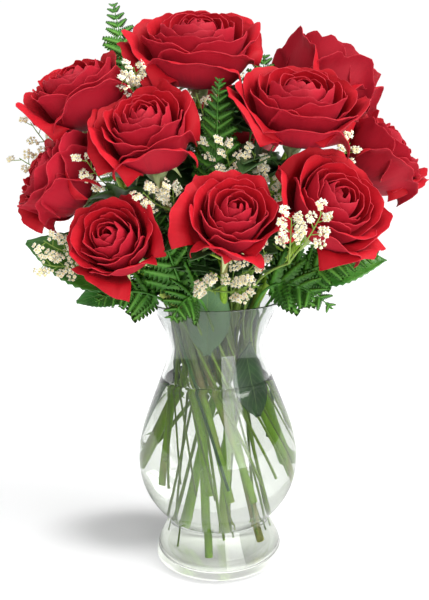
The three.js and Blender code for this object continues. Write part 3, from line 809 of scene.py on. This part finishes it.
def petal_sheet(rose, seed, layer, turn, droop=0.0):
    """A petal's grid in the head's frame, with rolled corners, a pointed lip and a waved edge."""
    draws = [chance(rose.spin * 1.7 + 31 * seed + 7 * k) for k in range(12)]
    phase = [6.3 * draw for draw in draws]  # radians
    u, v = np.meshgrid(np.linspace(-1, 1, ACROSS), np.sin(np.linspace(0, 1, UP) * np.pi / 2) ** 0.9)
    aside = np.abs(u)
    ragged = np.sin(8 * u + phase[8]) * 0.032 + np.sin(19 * u + phase[9]) * 0.026
    point = 0.085 * np.exp(-(((u - 0.3 * (draws[10] - 0.5)) / 0.2) ** 2))
    length = 1 - 0.34 * aside**2.5 + (point + ragged) * ramp(layer, 0.08, 0.5)
    length = length * mix(0.95, 1.04, draws[0])
    r, z = petal_line(rose, layer, v * length)
    # a guard petal hangs down
    z = z - droop * rose.h * v**2 * mix(0.75, 1.1, draws[0])
    r = r + droop * rose.r * 0.16 * v**2
    # the lip rolls outwards; an outer petal's corners roll most, so that its middle is a point
    free = ramp(layer, 0.8, 0.95)
    roll = mix(0.5, 4.4, layer) * mix(0.85, 1.15, draws[1])
    most = np.radians(mix(25, 170, layer) * mix(0.8, 1.1, draws[2]))
    corners = mix(mix(0.75, 0.35, free), mix(0.45, 1.15, free), np.minimum(1, aside**1.4))
    theta = most * ramp(v, 0.64, 1.02) * corners
    r = r + roll * (1 - np.cos(theta))
    z = z + roll * (np.sin(theta) - theta) * 0.75
    # one edge tucks in behind its neighbour, and the other lies over the next
    r = r + mix(-1.2, 3.2, ramp(layer, 0.5, 0.95)) * u * ramp(v, 0.0, 0.4)
    # the lip waves up and down and is crumpled, and a crease runs up to its point
    z = z + np.cos(3.7 * u + phase[5]) * mix(0.3, 2.4, layer) * ramp(v, 0.5, 1.0)
    z = z + np.cos(9.5 * u + phase[6]) * mix(0.1, 1.3, layer) * ramp(v, 0.72, 1.0)
    r = r + np.cos(13 * u + phase[11]) * mix(0.1, 0.55, layer) * ramp(v, 0.8, 1.0)
    crease = np.exp(-(((u - 0.15 * (draws[10] - 0.5)) / 0.15) ** 2)) * ramp(v, 0.25, 0.7)
    r = r + 0.4 * crease * layer
    # half is how far round the head the petal reaches to each side, in degrees
    half = mix(104, 58, layer) * (1 - 0.22 * min(1, 2 * droop))
    half = half * (0.42 + 0.58 * np.sin(np.minimum(1, v / 0.7) * np.pi / 2))
    half = half * (1 - 0.2 * ramp(v, 0.72, 1.0) * aside**2.5)
    angle = turn + u * half
    r = r + swell(rose, angle, layer) * mix(0.3, 2.6, layer) * ramp(v, 0.2, 1.0)
    maps = np.stack([(u + 1) / 2, v], axis=-1)
    return polar(np.maximum(r, 0.25), angle, z), maps, (draws[7], layer)


def head_turn(rose):
    """The head's base and its turn: its +Z is the way it looks."""
    face = unit(vec(*rose.face))
    turn = np.array(Vector((0, 0, 1)).rotation_difference(Vector(face)).to_matrix())
    return face, vec(*rose.at) - face * rose.h / 2, turn


def bloom(rose):
    """All the red of one rose: a spiral of petals from its outer layer in, then its guards."""
    _, base, turn = head_turn(rose)
    form = Form()
    petals = []
    count = round(mix(*PETALS, rose.open))
    for i in range(count):
        layer = (1 - i / (count - 1)) ** 1.15
        petals.append((i, layer, rose.spin - i * PETAL_TURN + 16 * (chance(rose.spin + i) - 0.5)))
    for k, (angle, droop) in enumerate(GUARDS[rose.name]):
        petals.append((FIRST_GUARD + k, 1.05 + 0.05 * k, angle, droop))
    for petal in petals:
        grid, maps, facts = petal_sheet(rose, *petal)
        form.sheet(grid @ turn.T + base, PETAL_T, maps, facts)
    return form.mesh(f"petals_{rose.name}")


# Radius and height, along the hip's side and along a sepal's middle.
HIP_LINE = [(3.2, -18), (5.8, -15), (8.2, -11), (8.6, -7), (7.6, -3.6), (6, -0.4)]
SEPAL_LINE = [(7.2, -3.8), (10.5, -2.8), (15, -6.4), (18.5, -15)]
SEPALS = 5


def hip_form():
    """The hip under the red with its five bent-back sepals, in the head's frame."""
    form = Form()
    form.turned(smooth_line(HIP_LINE, 3), sides=20, facts=(1, 0, 0))
    line = smooth_line(SEPAL_LINE, 4)
    u, v = np.meshgrid(np.linspace(-1, 1, 5), np.linspace(0, 1, len(line)))
    aside = u * (3.4 * (1 - v) ** 0.75 * (0.7 + 0.6 * np.sin(np.pi * v)) + 0.25)
    out, z = (np.repeat(line[:, i : i + 1], 5, axis=1) for i in (0, 1))
    z = z - 0.12 * aside**2
    for a in around(SEPALS):
        x = out * np.cos(a) - aside * np.sin(a)
        y = out * np.sin(a) + aside * np.cos(a)
        grid = np.stack([x, y, z], axis=-1)
        form.sheet(grid[:, ::-1], 0.7, np.stack([u, v], axis=-1), (0.75, 0))
    return form


def thorn_form():
    """A hooked thorn on +X, its foot sunk in a stem of radius 1."""
    form = Form()
    line = np.array([(0.7, 0, 0.25), (1.4, 0, 0.1), (2.0, 0, -0.3), (2.5, 0, -1.0)])
    form.tube(line, [0.85, 0.5, 0.22, 0.04], 6, (0.15, 0, 0))
    return form


def leaflet_form():
    """A rose's leaflet of length 1 along +X, facing +Z: a toothed oval with a folded rib."""
    rows = 15
    u, t = np.meshgrid(np.linspace(-1, 1, 5), np.linspace(0, 1, rows))
    shape = np.sin(np.pi * t**0.85) ** 0.75
    teeth = 1 + 0.07 * np.where(np.arange(rows) % 2, 1, -1)[:, None] * np.abs(u)
    half = (0.33 * shape + 0.012) * teeth
    raised = 0.12 * np.sin(np.pi * t) + 0.35 * np.abs(u * half) - 0.1 * t
    grid = np.stack([t, u * half, raised], axis=-1)
    form = Form()
    form.sheet(grid[:, ::-1], 0.02, np.stack([(u + 1) / 2, t], axis=-1), (0, 1))
    return form


def rose_leaf(plant, at, way, seed):
    """A leaf of five leaflets on a thin stalk that leaves the stem at a point."""
    side = unit(np.cross(vec(0, 0, 1), way))
    face = unit(np.cross(way, side))
    long = mix(26, 38, chance(seed))
    plant.stalk([at, at + long * 0.5 * way + 1.5 * face, at + long * way], [1.1, 0.8, 0.6])
    plant.bud(at + long * way, way, face, mix(36, 46, chance(seed + 1)), kind=3)
    for k in (0.45, 0.92):
        for hand in (-1, 1):
            aim = unit(way * 0.55 + side * hand)
            plant.bud(at + long * k * way, aim, face, mix(28, 37, chance(seed + 5 * k + hand)), kind=3)


LEAVES = 7  # on each rose's stem, of which those that would grow too low are left out
LEAVES_FROM = 246  # just above the vase
THORNS = 4  # on each rose's stem, in the vase
# More of them, just under a head: the share of the bend, and the way the leaf points.
HIGH_LEAVES = {
    "top": [(0.9, (0.85, -0.45, -0.05)), (0.84, (0.6, -0.7, 0.2))],
    "middle_right": [(0.84, (-0.85, -0.4, 0.2)), (0.93, (-0.6, -0.7, -0.1))],
    "centre": [(0.8, (0.7, 0.2, 0.5))],
}


def rose_stem(rose, seed):
    """A rose's stem with its leaves and thorns, and the hip on top of it."""
    face, base, turn = head_turn(rose)
    root = root_of(rose, seed)
    top = base - 12 * face
    via = top - face * 0.35 * np.linalg.norm(top - root[1])
    bend = bend_of(root, via, top)
    line = stem_line(root, bend, 22)
    plant = Plant()
    for k in range(LEAVES):
        at = bezier(bend, mix(0.3, 0.86, k / (LEAVES - 1)))
        if at[2] > LEAVES_FROM:
            inward = math.degrees(math.atan2(at[1], at[0])) + 180 + 190 * (chance(seed * 7 + k) - 0.5)
            way = unit(polar(1, inward, mix(0.1, 0.8, chance(seed + 3 * k))))
            rose_leaf(plant, at, way, seed * 4 + k)
    for k, (share, way) in enumerate(HIGH_LEAVES.get(rose.name, [])):
        rose_leaf(plant, bezier(bend, share), unit(vec(*way)), 90 + k)
    step = np.linspace(0, 1, len(line))
    radii = ROSE_STEM_R * (1 + 0.05 * np.sin(23 * step + seed) + 0.04 * np.sin(61 * step))
    radii[0] *= 1.06
    plant.stalk(line, radii, (0, chance(seed * 2.3), 0))
    spin = np.radians(rose.spin)
    plant.bud(base, turn @ vec(math.cos(spin), math.sin(spin), 0), face, 1.0, kind=2)
    for k in range(THORNS):
        t = 0.12 + 0.2 * k + 0.1 * chance(seed * 5 + k)
        at = mix(root[0], root[1], t)
        way = polar(1, 360 * chance(seed * 9 + k), 0)
        out = unit(way - root[2] * np.dot(way, root[2]))
        plant.bud(at, out, root[2], ROSE_STEM_R * mix(0.5, 0.9, chance(seed * 3 + k)))
    return plant


# ---- fern fronds ----
PINNA_LOBES = 8


def pinna_form():
    """A leaflet of length 1 along +X, facing +Z: a folded blade with slanted lobes, closed below."""
    step = 1 / PINNA_LOBES
    points, faces = [], []

    def point(x, y, z=0.0):
        points.append((x, y, z - 0.09 * abs(y) - 0.18 * x * x))
        return len(points) - 1

    ribs = [[point(k * step, 0, z) for k in range(PINNA_LOBES)] for z in (0.02, -0.012)]
    tip = point(1.0, 0)
    notches = []
    for hand in (-1, 1):
        wide = [0.33 * (1 - k * step) ** 0.55 * (0.7 if k == 0 else 1) for k in range(PINNA_LOBES)]
        notch = [*(point(k * step + 0.01, hand * 0.5 * wide[k]) for k in range(PINNA_LOBES)), tip]
        notches.append(notch[0])
        for k in range(PINNA_LOBES):
            low = point((k + 0.25) * step, hand * 0.88 * wide[k], 0.012)
            high = point((k + 0.95) * step, hand * wide[k], 0.012)
            for rib, over in zip(ribs, (1, -1)):
                after = rib[k + 1] if k + 1 < PINNA_LOBES else tip
                ring = [rib[k], after, notch[k + 1], high, low, notch[k]]
                ring = ring[:1] + ring[2:] if after == tip else ring
                faces.append(np.array([ring if hand * over > 0 else ring[::-1]]))
    faces.append(np.array([[notches[0], ribs[1][0], notches[1], ribs[0][0]]]))
    form = Form()
    form.add(points, faces, [(0.5 + y * 2, x) for x, y, _ in points], (0, 0, 0))
    return form


FROND_FULL = 1.72  # the longest leaflet over the width of the simple blade
PINNA_STEP = 0.43  # the step from one pair to the next, over the width


def frond(fern, seed):
    """A fern's stalk, with pairs of leaflets that grow shorter towards the tip."""
    root = root_of(fern, seed)
    bend = bend_of(root, vec(*fern.via), vec(*fern.tip))
    start, width = fern.blade
    up = unit(vec(*fern.up))
    plant = Plant()
    steps = 28
    line = stem_line(root, bend, steps)
    t = np.concatenate([np.zeros(STRAIGHT_POINTS), np.linspace(0, 1, steps)])
    plant.stalk(line, FILLER_STEM_R * np.where(t < start, 1, mix(1, 0.3, (t - start) / (1 - start))))
    blade = bezier(bend, np.linspace(start, 1, 20))
    count = max(6, round(np.linalg.norm(np.diff(blade, axis=0), axis=1).sum() / width / PINNA_STEP))
    for k in range(count):
        share = 1 - (1 - (k + 0.2) / count) ** 1.35
        s = mix(start, 1, share)
        at, along = bezier(bend, s), bezier_slope(bend, s)
        side = unit(np.cross(along, up))
        face = unit(np.cross(side, along))
        reach = width * FROND_FULL * (1 - share * 0.93) ** 0.8
        for hand in (-1, 1):
            aim = unit(side * hand + along * 0.65)
            plant.bud(at + hand * side * 0.3, aim, face, max(4.0, reach))
    along = bezier_slope(bend, 1.0)
    side = unit(np.cross(along, up))
    plant.bud(vec(*fern.tip) - 8 * along, along, unit(np.cross(side, along)), 7.0)
    return plant


# ---- salal leaves ----
SUNK_GAP = 1.2  # between the glass and the leaves that lie against it


def leaf(form, base, tip, up, width, seed):
    """A broad leaf with a folded rib, waved sides and fine teeth."""
    along = tip - base
    side = unit(np.cross(along, up))
    face = unit(np.cross(side, along))
    long = np.linalg.norm(along)
    rows = 33
    u, t = np.meshgrid(np.linspace(-1, 1, 15), np.linspace(0, 1, rows))
    shape = np.sin(np.pi * np.clip(1.15 * t - 0.15, 0, 1) ** 0.8) ** 0.9
    teeth = 1 + 0.035 * np.where(np.arange(rows) % 2, 1, -1)[:, None] * ramp(np.abs(u), 0.85, 1)
    half = np.maximum(0.9, width * shape) * teeth
    arch = 0.1 * long * np.sin(np.pi * t)
    wave = 0.16 * half + 0.1 * width * np.sin(5 * t + 2 * np.sign(u) + seed)
    ribs = 0.012 * width * np.sin(2 * np.pi * (9 * t - 2.7 * np.abs(u)))
    raise_by = arch + u * u * wave + ribs * np.abs(u) * (1 - np.abs(u)) * 4
    grid = base + t[..., None] * along + (u * half)[..., None] * side + raise_by[..., None] * face
    form.sheet(grid, LEAF_T * 0.7, np.stack([(u + 1) / 2, t], axis=-1), (chance(seed), 1))


def sunk_leaf(form, foot, tip, low, high, spread, shown):
    """A leaf that lies against the inside of the glass."""
    u, t = np.meshgrid(np.linspace(-1, 1, 17), np.linspace(0, 1, 25))
    wall = inside_line(SUNK_GAP)
    z = mix(low, high, t)
    half = spread * np.sin(np.pi * np.clip(1.06 * t - 0.04, 0.02, 0.99)) ** 0.6
    r = np.interp(z, wall[:, 1], wall[:, 0])
    r = r - 1.2 * (1 - np.abs(u)) ** 2 - 0.6 * (1 + np.sin(7 * t + 2 * u))
    grid = polar(r, mix(foot, tip, t) + u * half, z)
    rises = high > low
    grid = grid if (shown > 0) == rises else grid[:, ::-1]
    # painted shade: a leaf that hangs down inside the glass is darker
    tone = 0.4 if rises else -1.4
    form.sheet(grid, LEAF_T * 0.6, np.stack([(u + 1) / 2, t], axis=-1), (tone, 1))


def leafy_stem(salal, seed):
    """A forked stalk with a leaf at the end of each fork, and those of its leaves inside the vase."""
    root = root_of(salal, seed)
    fork = vec(*salal.fork)
    bend = bend_to_fork(root, fork)
    form = Form()
    form.tube(stem_line(root, bend, 20), FILLER_STEM_R, 8, (0.3, 0, 0))
    for i, end in enumerate(salal.tips):
        tip = vec(*end)
        base = mix(fork, bezier(bend, 0.8), 0.3 * i + 0.02)
        leaf(form, base, tip, vec(*salal.up), LEAF_WIDTH * np.linalg.norm(tip - base), i + 1)
    for sunk in SUNK_LEAVES[salal.name]:
        sunk_leaf(form, *sunk)
    return form


# ---- statice ----
def floret_form():
    """A floret of radius 1 that opens along +Z, on a thin green tube: two cones joined at the lip."""
    form = Form()
    lobes = 5
    tips = 2 * lobes  # the points of the lip: a notch and then a lobe's tip
    lip = [polar(1.0 if k % 2 else 0.66, 360 * k / tips, 0.42 if k % 2 else 0.2) for k in range(tips)]
    waist = [polar(0.26, 360 * k / lobes, -0.45) for k in range(lobes)]
    points = [*lip, *waist, (0, 0, -0.12), (0, 0, -1.5)]
    facts = [*[(1, 0, 0)] * tips, *[(0.5, 0, 0)] * lobes, (1, 1, 0), (0, 0, 0)]
    throat, foot = tips + lobes, tips + lobes + 1
    inside = [(k, (k + 1) % tips, throat) for k in range(tips)]
    outside, tail = [], []
    for j in range(lobes):
        a, b = tips + j, tips + (j + 1) % lobes
        outside.append((a, b, (2 * j + 2) % tips, 2 * j + 1, 2 * j))
        tail.append((foot, b, a))
    form.add(points, [np.array(inside), np.array(outside), np.array(tail)], (0, 0), np.array(facts))
    return form


FLORET_SIZE = 1.9
TWIGS = 7  # side twigs on each fork
TWIG_FLORETS = 8


def spray(statice, seed):
    """A forked stalk whose forks carry twigs, with a row of florets over each twig."""
    root = root_of(statice, seed)
    fork = vec(*statice.fork)
    plant = Plant()
    plant.stalk(stem_line(root, bend_to_fork(root, fork), 20), FILLER_STEM_R * 0.75)
    for j, end in enumerate(statice.heads):
        tip = vec(*end)
        second = mix(fork, tip, 0.6) - vec(0, 0, 0.15 * np.linalg.norm(tip - fork))
        curve = (fork, mix(fork, tip, 0.3), second, tip)
        plant.stalk(bezier(curve, np.linspace(0, 1, 12)), np.linspace(0.9, 0.4, 12))
        side = unit(np.cross(bezier_slope(curve, 0.8), vec(0, -1, 0.3)))
        for k in range(TWIGS):
            t = mix(0.42, 0.97, k / (TWIGS - 1))
            at, along = bezier(curve, t), bezier_slope(curve, t)
            hand = 1 if k % 2 else -1
            draws = [chance(seed * 3 + 11 * j + 5 * k + 3 * n) - 0.5 for n in range(3)]
            lean = unit(side * hand * 1.1 + along * 0.8 + 0.7 * vec(*draws))
            over = unit(vec(0, -0.8, 0.6) + 0.5 * vec(*draws))
            over = unit(over - lean * np.dot(over, lean))
            long = mix(16, 9.5, k / TWIGS)
            high = at + lean * long * 0.7 + over * 2.5
            arc = (at, at + lean * long * 0.3, high, at + lean * long + over * 1.0)
            plant.stalk(bezier(arc, np.linspace(0, 1, 5)), np.linspace(0.42, 0.25, 5))
            beside = np.cross(lean, over)
            for m in range(TWIG_FLORETS):
                spot = bezier(arc, mix(0.5, 1.0, m / (TWIG_FLORETS - 1)))
                row = m % 3 - 1
                slip = chance(seed + 13 * k + m) - 0.5
                way = unit(over + 0.5 * row * beside + 0.6 * slip * lean)
                spot = spot + way * (2.6 + slip) + beside * (1.7 * row + 1.2 * slip)
                plant.bud(spot, unit(np.cross(way, lean)), way, FLORET_SIZE)
    return plant


# ---- vase and water ----
VASE_SIDES = 96
FLAT_RINGS = 46, 40, 20, 2  # radii on a flat face, down to the cap at its middle
FLOOR_BEVEL = 4  # at the edge of the cavity's floor
FOOT_TOP = 14  # above this height the wall has an even thickness
HOLLOW_R = 46  # the hollow in the underside, within the ring on which the vase stands
HOLLOW_RISE = 4.4  # the middle of the hollow over that ring
LIP_DROP = 0.8  # from the rim down to the edges between which its lip is round
LIP_ROUND = 0.6
WATER_OVERLAP = 0.2  # the water reaches into the glass, so that no air shows between them
# The water's edge on the glass: how far inwards from the wall, and how far over the level.
MENISCUS = [(0, 2.4), (1.2, 1.1), (3.5, 0.2)]


def inside_line(inset):
    """The cavity's line, moved in by inset, from the edge of its floor up to the rim."""
    outside = np.array(VASE_OUTSIDE, dtype=float)
    edge = CAVITY_R - inset
    line = [(edge - FLOOR_BEVEL, FLOOR + inset), (edge, FLOOR + inset + FLOOR_BEVEL)]
    for i in range(1, len(outside) - 1):
        if outside[i][1] > FOOT_TOP:
            along = unit(outside[i + 1] - outside[i - 1])
            line.append(outside[i] + (WALL + inset) * vec(-along[1], along[0]))
    return np.array(line)


def vase():
    """The glass: its underside, its outside up to the round lip, its inside and the cavity's floor."""
    outside = smooth_line(VASE_OUTSIDE, 5)
    rim_r, rim_z = outside[-1]
    lip = []
    for a in np.radians(np.arange(15, 180, 25)):
        at = rim_r - WALL / 2 + WALL / 2 * math.cos(a)
        lip.append((at, rim_z - LIP_ROUND + LIP_ROUND * math.sin(a)))
    inside = smooth_line([*inside_line(0), (rim_r - WALL, rim_z - LIP_DROP)], 5)[::-1]
    hollow = np.linspace(FLAT_RINGS[-1], HOLLOW_R, 12)
    underside = [(r, HOLLOW_RISE * (1 - (r / HOLLOW_R) ** 1.7)) for r in hollow]
    floor = [(r, FLOOR) for r in FLAT_RINGS]
    form = Form()
    outer = [*underside, *outside[:-1], (rim_r, rim_z - LIP_DROP)]
    form.turned([*outer, *lip, *inside, *floor], VASE_SIDES)
    return form.mesh("glass_vase")


def water():
    """The water, with its edge drawn up a little on the glass."""
    line = smooth_line(inside_line(-WATER_OVERLAP), 5)
    below = line[line[:, 1] < WATER_LEVEL]
    wall = below[-1][0] - 0.4
    edge = [(wall - inwards, WATER_LEVEL + over) for inwards, over in MENISCUS]
    form = Form()
    bottom = [(r, FLOOR - WATER_OVERLAP) for r in FLAT_RINGS[::-1]]
    surface = [(r, WATER_LEVEL) for r in FLAT_RINGS[1:]]
    form.turned([*bottom, *below, *edge, *surface], VASE_SIDES)
    return form.mesh("water_body")


# ---- everything in its place ----
growth = growth_tree()
petal_velvet, rose_green = petal_finish(), rose_green_finish()
fern_green, salal_green, statice_white = fern_finish(), salal_finish(), statice_finish()
thorn = shoot_object("thorn", thorn_form())
hip = shoot_object("hip", hip_form())
leaflet = shoot_object("leaflet", leaflet_form())
pinna = shoot_object("pinna", pinna_form())
floret = shoot_object("floret", floret_form())

ROSE_GROWTH = {
    "Sides": 12, "Shoot": thorn, "Crown": hip, "Leaf": leaflet, "Scatter": 0.15, "Size Jitter": 0.1,
    "Finish": rose_green,
}
FERN_GROWTH = {"Sides": 6, "Shoot": pinna, "Scatter": 0.12, "Size Jitter": 0.08, "Finish": fern_green}
STATICE_GROWTH = {
    "Sides": 5, "Shoot": floret, "Scatter": 0.35, "Size Jitter": 0.2, "Finish": statice_white,
}
# Each kind of stem is numbered from its own place on, so that its random draws are its own.
FIRST_FERN, FIRST_SALAL, FIRST_STATICE = 20, 40, 50

for i, rose in enumerate(ROSES):
    place(f"petals_{rose.name}", bloom(rose), petal_velvet, f"bloom_{rose.name}")
    mesh = rose_stem(rose, i).grow("stalk", growth, {**ROSE_GROWTH, "Seed": i})
    place(f"stalk_{rose.name}", mesh, rose_green, f"stem_{rose.name}")

for i, fern in enumerate(FERNS):
    mesh = frond(fern, FIRST_FERN + i).grow("frond", growth, {**FERN_GROWTH, "Seed": i})
    place(f"frond_{fern.name}", mesh, fern_green, f"fern_{fern.name}")

for i, salal in enumerate(SALALS):
    mesh = leafy_stem(salal, FIRST_SALAL + i).mesh("leaves")
    place(f"leaves_{salal.name}", mesh, salal_green, f"salal_{salal.name}")

for i, statice in enumerate(STATICES):
    mesh = spray(statice, FIRST_STATICE + i).grow("spray", growth, {**STATICE_GROWTH, "Seed": i})
    place(f"spray_{statice.name}", mesh, statice_white, f"statice_{statice.name}")

place("glass_vase", vase(), glass_finish(), "vase")
place("water_body", water(), water_finish(), "water")

# ---- floor, light and camera ----
floor_mesh = bpy.data.meshes.new("studio_floor")
FLOOR_REACH = 9.0  # metres
FLOOR_Z = -0.0004  # just under the ring on which the vase stands
corners = [(x * FLOOR_REACH, y * FLOOR_REACH, FLOOR_Z) for x, y in ((-1, -1), (1, -1), (1, 1), (-1, 1))]
floor_mesh.from_pydata(corners, [], [(0, 1, 2, 3)])
floor_mesh.materials.append(floor_finish())
floor = bpy.data.objects.new("studio_floor", floor_mesh)
bpy.context.collection.objects.link(floor)

world = bpy.data.worlds.new("studio")
bpy.context.scene.world = world
world.use_nodes = True
sky = Nodes(world.node_tree)
sky.tree.nodes.clear()
way = sky.node("ShaderNodeTexCoord", out="Generated")
aside, ahead, up = sky.three(way)
backdrop = sky.smooth(ahead, 0.1, 0.5) * (1 - sky.smooth(up, 0.26, 0.55))
room = sky.smooth(up, 0.15, 0.7)
dim = 1 - sky.smooth(aside.math("ABSOLUTE"), 0.6, 0.95) * 0.45
FILL_WAY = (-0.6, -0.7, 0.39)  # the way to the pale fill in front, at the left
fill = sky.node("ShaderNodeVectorMath", {"operation": "DOT_PRODUCT"}, {0: way, 1: FILL_WAY}, "Value")
room = sky.blend(room, (0.34, 0.345, 0.35), (0.3, 0.31, 0.32))
shade = sky.blend(backdrop, room, (1.02, 1.02, 1.02))
shade = sky.blend(sky.smooth(fill, 0.5, 1.0), shade, (0.95, 0.95, 0.95))
light = sky.node("ShaderNodeBackground", inputs={"Color": shade, "Strength": dim})
sky.node("ShaderNodeOutputWorld", inputs={"Surface": light})

TARGET = vec(0, 0, 280)  # the middle of the bouquet


def softbox(name, at, size, power):
    """A rectangular light of [width, height] that faces the bouquet."""
    lamp = bpy.data.lights.new(name, "AREA")
    lamp.shape, lamp.size, lamp.size_y, lamp.energy = "RECTANGLE", size[0] * MM, size[1] * MM, power
    holder = bpy.data.objects.new(name, lamp)
    holder.location = Vector(vec(*at) * MM)
    holder.rotation_euler = Vector((vec(*at) - TARGET) * MM).to_track_quat("Z", "Y").to_euler()
    bpy.context.collection.objects.link(holder)


softbox("fill_from_above", (-300, -560, 1500), (1100, 1100), 4.5)
softbox("box_in_front", (600, -1100, 340), (760, 1000), 9)

KEY_AT = vec(0.66, -0.36, 0.7)  # the way to the key light
sun = bpy.data.lights.new("key_from_right", "SUN")
sun.energy, sun.angle = 3.5, math.radians(38)
holder = bpy.data.objects.new("key_from_right", sun)
holder.rotation_euler = Vector(KEY_AT).to_track_quat("Z", "Y").to_euler()
bpy.context.collection.objects.link(holder)

CAMERA_AT = vec(-0.5, -628, 345)
CAMERA_DOWN = 9.5  # degrees below the horizon
CAMERA_ROLL = -1.0
lens = bpy.data.cameras.new("camera")
lens.sensor_width, lens.lens = 36, 43.2  # millimetres
camera = bpy.data.objects.new("camera", lens)
camera.location = Vector(CAMERA_AT * MM)
tilt = Euler((math.radians(90 - CAMERA_DOWN), 0, 0)).to_matrix()
camera.rotation_euler = (tilt @ Euler((0, 0, math.radians(CAMERA_ROLL))).to_matrix()).to_euler()
bpy.context.collection.objects.link(camera)
bpy.context.scene.camera = camera
bpy.context.scene.view_settings.view_transform = "Standard"
